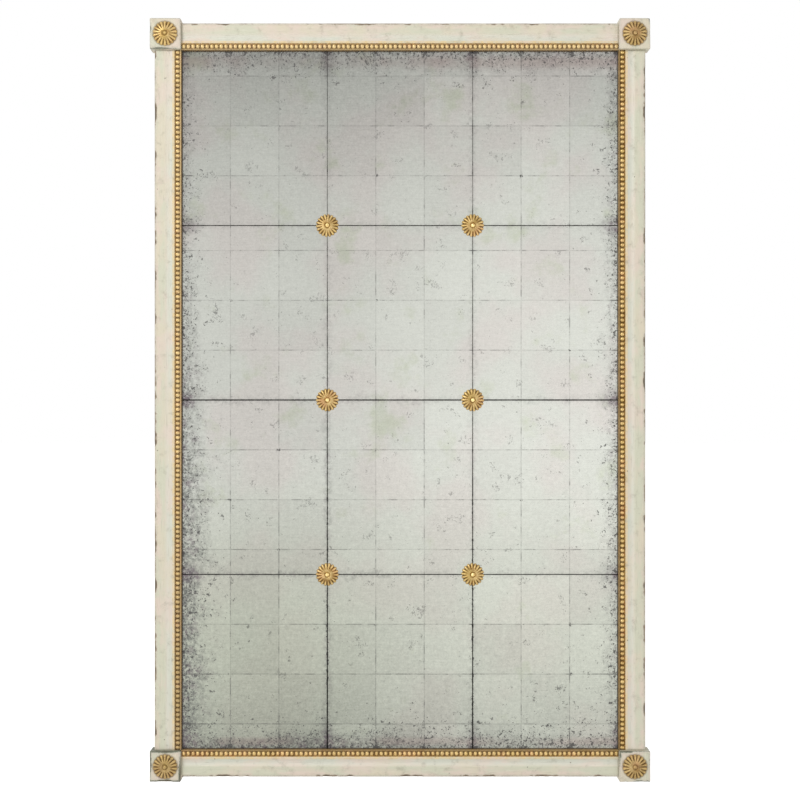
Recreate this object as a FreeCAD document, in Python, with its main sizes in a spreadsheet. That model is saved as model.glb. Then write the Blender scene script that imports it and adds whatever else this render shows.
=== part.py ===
import FreeCAD, Part
import math
import os
import Sketcher

# A wall mirror. Panes of antiqued mirror glass, butted edge to edge on a plywood panel, sit in a painted
# wooden frame with gilt bead strips, square corner blocks and carved rosettes. It hangs on hooked hangers.
#
# +X is to the viewer's right, +Z is up and +Y goes into the wall, whose face is the plane y = 0. The origin
# is the middle of the wall hangers' screw holes. A depth is a distance in front of the wall, so y = -depth.

COLUMNS = 3
ROWS = 4
PETALS = 18
MASTIC_RIBS = 2
DOWELS_PER_JOINT = 2
SETTING_BLOCKS_PER_PANE = 2
SCREWS_PER_HANGER = 3

SIZES = {
    # frame members, with the bead strip's ledge along the sight edge
    "frame_width": 920.0,
    "frame_height": 1412.0,
    "rail_width": 50.0,
    "rail_depth": 34.0,
    "outer_round": 3.0,
    "scoop_width": 13.0,
    "scoop_depth": 1.6,
    "arris_width": 4.0,
    "ledge_width": 12.2,
    "ledge_step": 6.5,
    "rabbet_width": 8.0,
    # corner blocks
    "block_overhang": 8.0,
    "block_proud": 8.0,
    "block_round": 2.0,
    # gilt bead strips
    "strip_base": 1.5,
    "bead_radius": 4.6,
    "bead_pitch": 8.8,
    # mirror panes and what carries them
    "glass_thickness": 4.0,
    "pane_gap": 1.2,
    "pane_overlap": 6.0,
    "pane_arris": 0.8,
    "crossing_radius": 4.0,
    "mastic_thickness": 1.5,
    "mastic_width": 18.0,
    "mastic_length": 220.0,
    "panel_thickness": 12.0,
    "panel_overlap": 7.0,
    "setting_block_length": 20.0,
    # rosettes
    "pane_rosette_radius": 21.5,
    "corner_rosette_radius": 23.0,
    "rosette_rim": 2.5,
    "rosette_crown": 7.0,
    "seat_radius": 5.6,
    "seat_depth": 1.6,
    "dome_radius": 22.0,
    "flute_outer_radius": 2.4,
    "flute_inner_radius": 0.8,
    "flute_start": 8.0,
    "flute_lift": 1.0,
    "button_radius": 4.0,
    "peg_radius": 3.0,
    "peg_in_rosette": 4.0,
    "peg_in_block": 9.0,
    "rosette_head_radius": 4.4,
    "rosette_shank_radius": 2.0,
    "rosette_screw_bite": 9.0,
    # joinery and back plates
    "fit_clearance": 0.1,
    "bore_end_gap": 0.5,
    "dowel_radius": 4.0,
    "dowel_length": 30.0,
    "dowel_inset": 10.0,
    "dowel_spacing": 16.0,
    "dowel_depth": 12.0,
    "brace_width": 20.0,
    "brace_leg": 78.0,
    "brace_thickness": 2.0,
    "brace_head_radius": 3.8,
    "brace_head_height": 1.8,
    "brace_shank_radius": 2.0,
    "brace_screw_length": 16.0,
    "clip_width": 14.0,
    "clip_thickness": 1.5,
    "clip_rail_foot": 15.0,
    "clip_panel_foot": 13.0,
    "clip_head_radius": 3.0,
    "clip_head_height": 1.4,
    "clip_shank_radius": 1.5,
    "clip_screw_length": 14.0,
    # hooked hangers and bumpers
    "hanger_plate": 3.0,
    "hanger_gap": 0.4,
    "hanger_flange": 30.0,
    "hanger_lip": 12.0,
    "lip_clearance": 0.5,
    "wall_hanger_length": 120.0,
    "frame_hanger_length": 100.0,
    "hanger_spacing": 406.4,
    "wall_hole_radius": 2.75,
    "wall_hole_spacing": 60.0,
    "hang_drop": 150.0,
    "hanger_head_radius": 3.8,
    "hanger_head_height": 2.2,
    "hanger_shank_radius": 2.0,
    "hanger_screw_length": 12.0,
    "bumper_radius": 9.0,
    "bumper_thickness": 3.0,
    # how far a cutter runs past what it cuts
    "overrun": 2.0,
}

# Places along a piece, as shares of its length or width
BRACE_SCREW_SHARES = (0.66, 0.88)
STILE_CLIP_SHARES = (0.16, 0.5, 0.84)
RAIL_CLIP_SHARES = (0.2, 0.8)
CLIP_SCREW_SHARE = 0.5
BUMPER_INSET_SHARE = 0.59

doc = FreeCAD.newDocument("wall_mirror")
sheet = doc.addObject("Spreadsheet::Sheet", "sizes")
for row, (alias, value) in enumerate(SIZES.items(), start=1):
    sheet.set(f"A{row}", alias.replace("_", " "))
    sheet.set(f"B{row}", str(value))
    sheet.setAlias(f"B{row}", alias)
doc.recompute()

SIGHT_WIDTH = "(sizes.frame_width - 2 * sizes.rail_width)"
SIGHT_HEIGHT = "(sizes.frame_height - 2 * sizes.rail_width)"
SIGHT_RIGHT = f"({SIGHT_WIDTH} / 2)"
SIGHT_LEFT = f"(-{SIGHT_RIGHT})"
FRAME_RIGHT = "(sizes.frame_width / 2)"
FRAME_LEFT = f"(-{FRAME_RIGHT})"
FRAME_TOP = "sizes.hang_drop"
FRAME_BOTTOM = "(sizes.hang_drop - sizes.frame_height)"
SIGHT_TOP = f"({FRAME_TOP} - sizes.rail_width)"
SIGHT_BOTTOM = f"({FRAME_BOTTOM} + sizes.rail_width)"
BLOCK_SIZE = "(sizes.rail_width + sizes.block_overhang)"

# Depths, from the wall to the front
FRAME_BACK = "sizes.bumper_thickness"
PANEL_BACK = "(2 * sizes.hanger_plate + sizes.hanger_gap + sizes.hanger_gap / 2)"
PANEL_FRONT = f"({PANEL_BACK} + sizes.panel_thickness)"
PANE_BACK = f"({PANEL_FRONT} + sizes.mastic_thickness)"
PANE_FRONT = f"({PANE_BACK} + sizes.glass_thickness)"
RAIL_FRONT = f"({FRAME_BACK} + sizes.rail_depth)"
BLOCK_FRONT = f"({RAIL_FRONT} + sizes.block_proud)"

# Each member's own frame: x from its outer edge to its sight edge, z along its length. A member's row gives
# the turn about Y, where its outer corner lies, which way its length runs and how long it is.
MEMBERS = {
    "left": (0, FRAME_LEFT, SIGHT_BOTTOM, (0, 1), SIGHT_HEIGHT),
    "right": (180, FRAME_RIGHT, SIGHT_TOP, (0, -1), SIGHT_HEIGHT),
    "top": (90, SIGHT_LEFT, FRAME_TOP, (1, 0), SIGHT_WIDTH),
    "bottom": (270, SIGHT_RIGHT, FRAME_BOTTOM, (-1, 0), SIGHT_WIDTH),
}

# Each corner: side in x, side in z, and the quarter turn of a plate that spans it
CORNERS = {
    "top_left": (-1, 1, 0),
    "top_right": (1, 1, 90),
    "bottom_right": (1, -1, 180),
    "bottom_left": (-1, -1, 270),
}

ORIGIN = FreeCAD.Vector(0, 0, 0)
ACROSS = FreeCAD.Vector(1, 0, 0)
INTO_WALL = FreeCAD.Vector(0, 1, 0)
ALONG = FreeCAD.Vector(0, 0, 1)
TO_FRONT = FreeCAD.Rotation(ACROSS, 90)

nodes = []


def number(expression):
    return float(sheet.evalExpression(expression))


def bind(piece, **expressions):
    for name, expression in expressions.items():
        piece.setExpression(name, expression)


def place(piece, x, depth, z, rotation=FreeCAD.Rotation()):
    piece.Placement = FreeCAD.Placement(ORIGIN, rotation)
    piece.setExpression("Placement.Base.x", x)
    piece.setExpression("Placement.Base.y", f"-({depth})")
    piece.setExpression("Placement.Base.z", z)


def seat(piece, side, depth, along="0"):
    """Put a piece that is drawn in a member's own frame on that member."""
    turn, x, z, (run_x, run_z), length = MEMBERS[side]
    start_x = f"{x} + {run_x} * ({along})"
    start_z = f"{z} + {run_z} * ({along})"
    place(piece, start_x, depth, start_z, FreeCAD.Rotation(INTO_WALL, turn))


def slab(name, x, depth, z):
    """A box between two places in x, two depths and two heights."""
    piece = doc.addObject("Part::Box", name)
    bind(piece, Length=f"({x[1]}) - ({x[0]})", Width=f"({depth[1]}) - ({depth[0]})")
    bind(piece, Height=f"({z[1]}) - ({z[0]})")
    place(piece, x[0], depth[1], z[0])
    return piece


def rod(name, radius, depth, x, z):
    """A round bar square to the wall, between two depths."""
    piece = doc.addObject("Part::Cylinder", name)
    bind(piece, Radius=radius, Height=f"({depth[1]}) - ({depth[0]})")
    place(piece, x, depth[0], z, TO_FRONT)
    return piece


def group(name, pieces):
    piece = doc.addObject("Part::Compound", name)
    piece.Links = pieces
    return piece


def fuse(name, base, tool):
    piece = doc.addObject("Part::Fuse", name)
    piece.Base = base
    piece.Tool = tool
    return piece


def cut(name, base, *tools):
    for count, tool in enumerate(tools, start=1):
        piece = doc.addObject("Part::Cut", f"{name}_cut_{count}")
        piece.Base = base
        piece.Tool = tool
        base = piece
    return base


def keep(name, piece):
    """Name a finished piece as one of the mirror's nodes."""
    piece.Label = name
    nodes.append(piece)
    return piece


def front_edges(piece, size):
    """The edges round a piece's front face, with a size for each, as a fillet or chamfer takes them."""
    doc.recompute()
    front = piece.Shape.BoundBox.YMin
    reach = number("sizes.fit_clearance")
    edges = []
    for index, edge in enumerate(piece.Shape.Edges, start=1):
        if edge.BoundBox.YMax - front < reach:
            edges.append((index, number(size), number(size)))
    return edges


def arc_side(start, end, radius):
    """An arc that bulges outwards from a side of an outline drawn anticlockwise."""
    chord = end - start
    inward = FreeCAD.Vector(-chord.y, chord.x, 0).normalize()
    height = math.sqrt(radius ** 2 - (chord.Length / 2) ** 2)
    centre = start + chord / 2 + inward * height
    angles = [math.atan2(point.y - centre.y, point.x - centre.x) for point in (start, end)]
    return Part.ArcOfCircle(Part.Circle(centre, ALONG, radius), *angles)


def outline(body, name, corners, plane="XY_Plane"):
    """A closed sketch, each corner bound to its two expressions. A third one makes the side to it an arc."""
    sketch = body.newObject("Sketcher::SketchObject", name)
    planes = [feature for feature in body.Origin.OriginFeatures if feature.Role == plane]
    sketch.AttachmentSupport = (planes[0], [""])
    sketch.MapMode = "FlatFace"
    points = [FreeCAD.Vector(number(corner[0]), number(corner[1]), 0) for corner in corners]
    for index, (x, y, *radius) in enumerate(corners):
        start = points[index - 1]
        end = points[index]
        side = arc_side(start, end, number(radius[0])) if radius else Part.LineSegment(start, end)
        sketch.addGeometry(side)
    for index, (x, y, *radius) in enumerate(corners):
        previous = (index - 1) % len(corners)
        sketch.addConstraint(Sketcher.Constraint("Coincident", previous, 2, index, 1))
        for kind, expression in (("DistanceX", x), ("DistanceY", y)):
            rule = Sketcher.Constraint(kind, -1, 1, index, 2, number(expression))
            sketch.setExpression(f"Constraints[{sketch.addConstraint(rule)}]", expression)
        for expression in radius:
            rule = Sketcher.Constraint("Radius", index, number(expression))
            sketch.setExpression(f"Constraints[{sketch.addConstraint(rule)}]", expression)
    return sketch


def profiled_bar(name, corners, length):
    """A body with a straight-sided section, as long as given along its own Z."""
    body = doc.addObject("PartDesign::Body", name)
    pad = body.newObject("PartDesign::Pad", f"{name}_pad")
    pad.Profile = outline(body, f"{name}_section", corners)
    bind(pad, Length=length)
    return body


def sunk_screw(name, kind, x, depth, z, clearance="0", end_gap="0"):
    """A countersunk screw driven forwards from a depth, or its bore when clearances are given."""
    head = doc.addObject("Part::Cone", f"{name}_head")
    shank_radius = f"sizes.{kind}_shank_radius + {clearance}"
    bind(head, Radius1=f"sizes.{kind}_head_radius + {clearance}", Radius2=shank_radius)
    bind(head, Height=f"sizes.{kind}_head_height")
    place(head, x, depth, z, TO_FRONT)
    tip = f"{depth} + sizes.{kind}_screw_length + {end_gap}"
    shank = rod(f"{name}_shank", shank_radius, (depth, tip), x, z)
    return fuse(name, head, shank)


def sunk_screws(kind, places, depth):
    """Screws of one kind, and the bores that take them."""
    screws = []
    bores = []
    for count, (x, z) in enumerate(places, start=1):
        screws.append(sunk_screw(f"{kind}_screw_{count}", kind, x, depth, z))
        bore = f"{kind}_bore_{count}"
        bores.append(sunk_screw(bore, kind, x, depth, z, "sizes.fit_clearance", "sizes.bore_end_gap"))
    return group(f"{kind}_screws", screws), group(f"{kind}_bores", bores)


def line_of_column(column):
    return f"({SIGHT_LEFT} + {SIGHT_WIDTH} * {column} / {COLUMNS})"


def line_of_row(row):
    return f"({SIGHT_TOP} - {SIGHT_HEIGHT} * {row} / {ROWS})"


# The rabbet: the space behind the lip that takes the glass and the panel, through members and blocks
rabbet = slab(
    "rabbet",
    (f"{SIGHT_LEFT} - sizes.rabbet_width", f"{SIGHT_RIGHT} + sizes.rabbet_width"),
    (f"{FRAME_BACK} - sizes.overrun", PANE_FRONT),
    (f"{SIGHT_BOTTOM} - sizes.rabbet_width", f"{SIGHT_TOP} + sizes.rabbet_width"),
)

# Dowels between each corner block and the stile and rail that butt against it
dowels = []
dowel_bores = []
DOWEL_FITS = (
    (dowels, "dowel", "0", "0"),
    (dowel_bores, "dowel_bore", "sizes.fit_clearance", "sizes.bore_end_gap"),
)
for corner, (side_x, side_z, quarter) in CORNERS.items():
    outer_z = FRAME_TOP if side_z > 0 else FRAME_BOTTOM
    joint_z = SIGHT_TOP if side_z > 0 else SIGHT_BOTTOM
    for count in range(DOWELS_PER_JOINT):
        inset = f"(sizes.dowel_inset + {count} * sizes.dowel_spacing)"
        for made, word, clearance, end_gap in DOWEL_FITS:
            half = f"(sizes.dowel_length / 2 + {end_gap})"
            joints = {
                "stile": (f"{side_x} * ({FRAME_RIGHT} - {inset})", f"{joint_z} - {half}", 0),
                "rail": (f"{side_x} * {SIGHT_RIGHT} - {half}", f"{outer_z} - {side_z} * {inset}", 90),
            }
            for joint, (x, z, turn) in joints.items():
                peg = doc.addObject("Part::Cylinder", f"{word}_{corner}_{joint}_{count + 1}")
                bind(peg, Radius=f"sizes.dowel_radius + {clearance}", Height=f"2 * {half}")
                depth = f"{FRAME_BACK} + sizes.dowel_depth"
                place(peg, x, depth, z, FreeCAD.Rotation(INTO_WALL, turn))
                made.append(peg)
keep("corner_dowels", group("corner_dowels", dowels))
dowel_cutter = group("dowel_bores", dowel_bores)

# Centres of the corner blocks, where their rosettes, braces and bumpers are set out from
block_centres = {}
for corner, (side_x, side_z, quarter) in CORNERS.items():
    outer_z = FRAME_TOP if side_z > 0 else FRAME_BOTTOM
    centre_x = f"({side_x} * ({SIGHT_RIGHT} + {BLOCK_SIZE} / 2))"
    centre_z = f"({outer_z} + {side_z} * (sizes.block_overhang - {BLOCK_SIZE} / 2))"
    block_centres[corner] = (centre_x, centre_z)

# Flat steel corner braces across each joint at the back, with their screws
BRACE_BACK = f"({FRAME_BACK} - sizes.brace_thickness)"
brace_places = []
for corner, (side_x, side_z, quarter) in CORNERS.items():
    centre_x, centre_z = block_centres[corner]
    brace_places.append((centre_x, centre_z))
    for share in BRACE_SCREW_SHARES:
        reach = f"{share} * sizes.brace_leg"
        brace_places.append((f"{centre_x} - {side_x} * {reach}", centre_z))
        brace_places.append((centre_x, f"{centre_z} - {side_z} * {reach}"))
brace_screws, brace_bores = sunk_screws("brace", brace_places, BRACE_BACK)
keep("corner_brace_screws", brace_screws)

for corner, (side_x, side_z, quarter) in CORNERS.items():
    half = "sizes.brace_width / 2"
    brace = profiled_bar(
        f"brace_{corner}",
        [
            (f"-{half}", half),
            (f"-{half}", "-sizes.brace_leg"),
            (half, "-sizes.brace_leg"),
            (half, f"-{half}"),
            ("sizes.brace_leg", f"-{half}"),
            ("sizes.brace_leg", half),
        ],
        "sizes.brace_thickness",
    )
    turned = FreeCAD.Rotation(INTO_WALL, quarter).multiply(TO_FRONT)
    place(brace, block_centres[corner][0], BRACE_BACK, block_centres[corner][1], turned)
    keep(f"corner_brace_{corner}", cut(f"corner_brace_{corner}", brace, brace_bores))

# Offset clips that hold the panel in the rabbet: one foot on the member's back, one on the panel
CLIP_BACK = f"({FRAME_BACK} - sizes.clip_thickness)"
CLIP_STEP = f"({PANEL_BACK} - {FRAME_BACK})"
CLIP_BEND = "(sizes.rail_width - sizes.rabbet_width)"
clip_outline = [
    (f"{CLIP_BEND} - sizes.clip_rail_foot", "0"),
    (f"{CLIP_BEND} - sizes.clip_rail_foot", "sizes.clip_thickness"),
    (f"{CLIP_BEND} + sizes.clip_thickness", "sizes.clip_thickness"),
    (f"{CLIP_BEND} + sizes.clip_thickness", f"sizes.clip_thickness - {CLIP_STEP}"),
    (f"{CLIP_BEND} + sizes.clip_panel_foot", f"sizes.clip_thickness - {CLIP_STEP}"),
    (f"{CLIP_BEND} + sizes.clip_panel_foot", f"-{CLIP_STEP}"),
    (f"{CLIP_BEND} + sizes.fit_clearance", f"-{CLIP_STEP}"),
    (f"{CLIP_BEND} + sizes.fit_clearance", "0"),
]
clips = []
clip_places = []
for side, (turn, x, z, (run_x, run_z), length) in MEMBERS.items():
    shares = STILE_CLIP_SHARES if run_x == 0 else RAIL_CLIP_SHARES
    inward = f"({CLIP_BEND} - {CLIP_SCREW_SHARE} * sizes.clip_rail_foot)"
    for count, share in enumerate(shares, start=1):
        middle = f"{share} * {length}"
        clip = profiled_bar(f"clip_{side}_{count}", clip_outline, "sizes.clip_width")
        seat(clip, side, FRAME_BACK, f"{middle} - sizes.clip_width / 2")
        clips.append(clip)
        hole_x = f"{x} + {run_x} * {middle} + {run_z} * {inward}"
        hole_z = f"{z} + {run_z} * {middle} - {run_x} * {inward}"
        clip_places.append((hole_x, hole_z))
clip_screws, clip_bores = sunk_screws("clip", clip_places, CLIP_BACK)
keep("panel_clip_screws", clip_screws)
keep("panel_clips", cut("panel_clips", group("clip_blanks", clips), clip_bores))

# Stiles and rails: a flat face with a rounded outer edge, a shallow scoop, an arris and the bead's ledge
MEMBER_NAMES = {"left": "left_stile", "right": "right_stile", "top": "top_rail", "bottom": "bottom_rail"}
LEDGE_START = "(sizes.rail_width - sizes.ledge_width)"
LEDGE_HEIGHT = "(sizes.rail_depth - sizes.ledge_step)"
SCOOP_RADIUS = "((sizes.scoop_width ^ 2 / 4 + sizes.scoop_depth ^ 2) / (2 * sizes.scoop_depth))"
member_section = [
    ("0", "0"),
    ("sizes.rail_width", "0"),
    ("sizes.rail_width", f"-{LEDGE_HEIGHT}"),
    (LEDGE_START, f"-{LEDGE_HEIGHT}"),
    (LEDGE_START, "-sizes.rail_depth"),
    ("0", "-sizes.rail_depth"),
]
for side, name in MEMBER_NAMES.items():
    length = MEMBERS[side][-1]
    member = profiled_bar(f"{name}_blank", member_section, length)
    doc.recompute()
    scoop = member.newObject("PartDesign::SubtractiveCylinder", f"{name}_scoop")
    bind(scoop, Radius=SCOOP_RADIUS, Height=f"{length} + 2 * sizes.overrun")
    place(
        scoop,
        f"{LEDGE_START} - sizes.arris_width - sizes.scoop_width / 2",
        f"sizes.rail_depth - sizes.scoop_depth + {SCOOP_RADIUS}",
        "-sizes.overrun",
    )
    doc.recompute()
    rounding = member.newObject("PartDesign::Fillet", f"{name}_round")
    outer_edges = []
    for index, edge in enumerate(member.Shape.Edges, start=1):
        middle = edge.CenterOfMass
        corner_point = FreeCAD.Vector(0, -number("sizes.rail_depth"), number(f"{length} / 2"))
        if middle.distanceToPoint(corner_point) < number("sizes.fit_clearance"):
            outer_edges.append(f"Edge{index}")
    rounding.Base = (scoop, outer_edges)
    bind(rounding, Radius="sizes.outer_round")
    seat(member, side, FRAME_BACK)
    keep(name, cut(name, member, rabbet, dowel_cutter, brace_bores, clip_bores))

# Pegs that key the corner rosettes to their blocks
peg_tip = f"{BLOCK_FRONT} + sizes.peg_in_rosette"
peg_root = f"{BLOCK_FRONT} - sizes.peg_in_block"
pegs = []
peg_bores = []
for corner, (x, z) in block_centres.items():
    pegs.append(rod(f"peg_{corner}", "sizes.peg_radius", (peg_root, peg_tip), x, z))
    bore_ends = (f"{peg_root} - sizes.bore_end_gap", f"{peg_tip} + sizes.bore_end_gap")
    bore_radius = "sizes.peg_radius + sizes.fit_clearance"
    peg_bores.append(rod(f"peg_bore_{corner}", bore_radius, bore_ends, x, z))
keep("rosette_pegs", group("rosette_pegs", pegs))
peg_cutter = group("peg_bores", peg_bores)

# Corner blocks, proud of the members in front and at the outer edges
for corner, (side_x, side_z, quarter) in CORNERS.items():
    centre_x, centre_z = block_centres[corner]
    half = f"{BLOCK_SIZE} / 2"
    blank = slab(
        f"block_{corner}",
        (f"{centre_x} - {half}", f"{centre_x} + {half}"),
        (FRAME_BACK, BLOCK_FRONT),
        (f"{centre_z} - {half}", f"{centre_z} + {half}"),
    )
    rounded = doc.addObject("Part::Fillet", f"block_{corner}_round")
    rounded.Base = blank
    rounded.Edges = front_edges(blank, "sizes.block_round")
    name = f"corner_block_{corner}"
    keep(name, cut(name, rounded, rabbet, dowel_cutter, brace_bores, peg_cutter))


def bead_strip(length):
    """A carved strip in a member's own frame: a flat base with a row of half-round beads along its middle."""
    base_height = number("sizes.strip_base")
    width = number("sizes.ledge_width")
    radius = number("sizes.bead_radius")
    run = number(length)
    count = round(run / number("sizes.bead_pitch"))
    pitch = run / count
    neck = math.sqrt(max(radius ** 2 - (pitch / 2) ** 2, 0))
    ledge = FreeCAD.Vector(number(LEDGE_START), -number(LEDGE_HEIGHT), 0)
    base = Part.makeBox(width, base_height, run, ledge - INTO_WALL * base_height)
    middle = ledge + ACROSS * radius - INTO_WALL * base_height
    curves = []
    for bead in range(count):
        start = middle + ALONG * (bead * pitch) + ACROSS * neck
        crown = middle + ALONG * ((bead + 1 / 2) * pitch) + ACROSS * radius
        end = middle + ALONG * ((bead + 1) * pitch) + ACROSS * neck
        curves.append(Part.Arc(start, crown, end).toShape())
    first = middle + ACROSS * neck
    last = middle + ALONG * run
    curves.insert(0, Part.makeLine(middle, first))
    curves.append(Part.makeLine(last + ACROSS * neck, last))
    curves.append(Part.makeLine(last, middle))
    half_section = Part.Face(Part.Wire(curves))
    beads = half_section.revolve(middle, ALONG, -180)
    return base.fuse(beads).removeSplitter()


# Gilt bead strips on the ledges, from block to block
for side in MEMBERS:
    strip = doc.addObject("Part::Feature", f"bead_strip_{side}")
    strip.Shape = bead_strip(MEMBERS[side][-1])
    seat(strip, side, FRAME_BACK)
    keep(f"bead_strip_{side}", strip)

# Mirror panes, butted with a fine gap, their meeting corners cut away round the rosettes' screws
crossings = []
for row in range(1, ROWS):
    for column in range(1, COLUMNS):
        crossings.append((row, column, line_of_column(column), line_of_row(row)))
crossing_bores = []
for row, column, x, z in crossings:
    through = (f"{PANE_BACK} - sizes.overrun", f"{PANE_FRONT} + sizes.overrun")
    crossing_bores.append(rod(f"crossing_{row}_{column}", "sizes.crossing_radius", through, x, z))
crossing_cutter = group("crossing_bores", crossing_bores)

pane_spans = {}
for row in range(ROWS):
    for column in range(COLUMNS):
        gap = "sizes.pane_gap / 2"
        left = f"{line_of_column(column)} + {gap}" if column else f"{SIGHT_LEFT} - sizes.pane_overlap"
        right = f"{line_of_column(column + 1)} - {gap}"
        if column == COLUMNS - 1:
            right = f"{SIGHT_RIGHT} + sizes.pane_overlap"
        top = f"{line_of_row(row)} - {gap}" if row else f"{SIGHT_TOP} + sizes.pane_overlap"
        bottom = f"{line_of_row(row + 1)} + {gap}"
        if row == ROWS - 1:
            bottom = f"{SIGHT_BOTTOM} - sizes.pane_overlap"
        pane_spans[row, column] = (left, right, bottom, top)

for (row, column), (left, right, bottom, top) in pane_spans.items():
    name = f"pane_row_{row + 1}_column_{column + 1}"
    sheet_glass = slab(f"{name}_glass", (left, right), (PANE_BACK, PANE_FRONT), (bottom, top))
    seamed = doc.addObject("Part::Chamfer", f"{name}_seamed")
    seamed.Base = sheet_glass
    seamed.Edges = front_edges(sheet_glass, "sizes.pane_arris")
    keep(name, cut(name, seamed, crossing_cutter))

# Ribs of mastic that bond each pane to the panel
ribs = []
for (row, column), (left, right, bottom, top) in pane_spans.items():
    for count in range(MASTIC_RIBS):
        share = (count + 1 / 2) / MASTIC_RIBS
        x = f"(({left}) * (1 - {share}) + ({right}) * {share})"
        z = f"((({bottom}) + ({top})) / 2)"
        rib = slab(
            f"rib_{row + 1}_{column + 1}_{count + 1}",
            (f"{x} - sizes.mastic_width / 2", f"{x} + sizes.mastic_width / 2"),
            (PANEL_FRONT, PANE_BACK),
            (f"{z} - sizes.mastic_length / 2", f"{z} + sizes.mastic_length / 2"),
        )
        ribs.append(rib)
keep("mastic_ribs", group("mastic_ribs", ribs))

# Rubber blocks in the bottom rabbet, on which the lowest panes stand
setting_blocks = []
for column in range(COLUMNS):
    left, right, bottom, top = pane_spans[ROWS - 1, column]
    for count in range(SETTING_BLOCKS_PER_PANE):
        share = (count + 1 / 2) / SETTING_BLOCKS_PER_PANE
        x = f"(({left}) * (1 - {share}) + ({right}) * {share})"
        block = slab(
            f"setting_block_{column + 1}_{count + 1}",
            (f"{x} - sizes.setting_block_length / 2", f"{x} + sizes.setting_block_length / 2"),
            (PANE_BACK, PANE_FRONT),
            (f"{SIGHT_BOTTOM} - sizes.rabbet_width", bottom),
        )
        setting_blocks.append(block)
keep("setting_blocks", group("setting_blocks", setting_blocks))


def rosette(name, radius, bore_radius, x, depth, z):
    """A carved rosette: a shallow dome, fluted into petals round a sunk middle."""
    floor = "(sizes.rosette_crown - sizes.seat_depth)"
    corners = [
        (bore_radius, "0"),
        (radius, "0"),
        (radius, "sizes.rosette_rim"),
        ("sizes.seat_radius", "sizes.rosette_crown", "sizes.dome_radius"),
        ("sizes.seat_radius", floor),
        (bore_radius, floor),
    ]
    body = doc.addObject("PartDesign::Body", name)
    section = outline(body, f"{name}_section", corners, "XZ_Plane")
    dome = body.newObject("PartDesign::Revolution", f"{name}_dome")
    dome.Profile = section
    dome.ReferenceAxis = (section, ["V_Axis"])
    doc.recompute()
    flute = body.newObject("PartDesign::SubtractiveCone", f"{name}_flute")
    rise = "(sizes.rosette_crown - sizes.rosette_rim)"
    run = f"({radius} - sizes.flute_start)"
    bind(flute, Radius1="sizes.flute_outer_radius", Radius2="sizes.flute_inner_radius")
    bind(flute, Height=f"sqrt({rise} ^ 2 + {run} ^ 2)")
    flute.Placement = FreeCAD.Placement(ORIGIN, FreeCAD.Rotation(INTO_WALL * -1, 90))
    flute.setExpression("Placement.Base.x", radius)
    flute.setExpression("Placement.Base.z", "sizes.rosette_rim + sizes.flute_lift")
    flute.setExpression("Placement.Rotation.Angle", f"90 deg - atan({rise} / {run})")
    doc.recompute()
    petals = body.newObject("PartDesign::PolarPattern", f"{name}_petals")
    petals.Originals = [flute]
    axes = [feature for feature in body.Origin.OriginFeatures if feature.Role == "Z_Axis"]
    petals.Axis = (axes[0], [""])
    petals.Angle = 360
    petals.Occurrences = PETALS
    body.Tip = petals
    place(body, x, depth, z, TO_FRONT)
    return body


# Pane rosettes over the crossings, each held by a domed screw into the panel
SCREW_SEAT = f"({PANE_FRONT} + sizes.rosette_crown - sizes.seat_depth)"
screw_tip = f"({PANEL_FRONT} - sizes.rosette_screw_bite)"
rosette_screws = []
rosette_screw_bores = []
for row, column, x, z in crossings:
    name = f"pane_rosette_{row}_{column}"
    bore_radius = "(sizes.rosette_shank_radius + sizes.fit_clearance)"
    keep(name, rosette(name, "sizes.pane_rosette_radius", bore_radius, x, PANE_FRONT, z))
    head = doc.addObject("Part::Sphere", f"{name}_head")
    bind(head, Radius="sizes.rosette_head_radius")
    head.Angle1 = 0
    place(head, x, SCREW_SEAT, z, TO_FRONT)
    shank = rod(f"{name}_shank", "sizes.rosette_shank_radius", (screw_tip, SCREW_SEAT), x, z)
    rosette_screws.append(fuse(f"{name}_screw", head, shank))
    bore_ends = (f"{screw_tip} - sizes.bore_end_gap", f"{PANEL_FRONT} + sizes.overrun")
    rosette_screw_bores.append(rod(f"{name}_bore", bore_radius, bore_ends, x, z))
keep("rosette_screws", group("rosette_screws", rosette_screws))
rosette_screw_cutter = group("rosette_screw_bores", rosette_screw_bores)

# Corner rosettes on the blocks, each with a small button in its middle
for corner, (x, z) in block_centres.items():
    name = f"corner_rosette_{corner}"
    carved = rosette(f"{name}_carved", "sizes.corner_rosette_radius", "0", x, BLOCK_FRONT, z)
    button = doc.addObject("Part::Sphere", f"{name}_button")
    bind(button, Radius="sizes.button_radius")
    button.Angle1 = 0
    button_depth = f"{BLOCK_FRONT} + sizes.rosette_crown - sizes.seat_depth"
    place(button, x, button_depth, z, TO_FRONT)
    whole = fuse(f"{name}_whole", carved, button)
    keep(name, cut(name, whole, peg_cutter))

# The hooked hangers, drawn in section with x down and y into the wall: the upper ones are fixed to the panel
# and their lips drop behind the lips of the lower ones, which are screwed to the wall
FLANGE_HALF = "(sizes.hanger_flange / 2)"
LIP_FRONT = "(2 * sizes.hanger_plate + sizes.hanger_gap)"
WEB_TOP = f"({FLANGE_HALF} + sizes.hanger_plate)"
HOOK_LEVEL = f"({WEB_TOP} + sizes.hanger_lip)"
wall_section = [
    (FLANGE_HALF, "0"),
    (FLANGE_HALF, "-sizes.hanger_plate"),
    (f"-{FLANGE_HALF}", "-sizes.hanger_plate"),
    (f"-{FLANGE_HALF}", f"-{LIP_FRONT}"),
    (f"-{HOOK_LEVEL}", f"-{LIP_FRONT}"),
    (f"-{HOOK_LEVEL}", f"sizes.hanger_plate - {LIP_FRONT}"),
    (f"-{WEB_TOP}", f"sizes.hanger_plate - {LIP_FRONT}"),
    (f"-{WEB_TOP}", "0"),
]
LIP_BACK = "(sizes.hanger_gap / 2)"
FRAME_WEB_TOP = f"({HOOK_LEVEL} + sizes.hanger_plate)"
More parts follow.
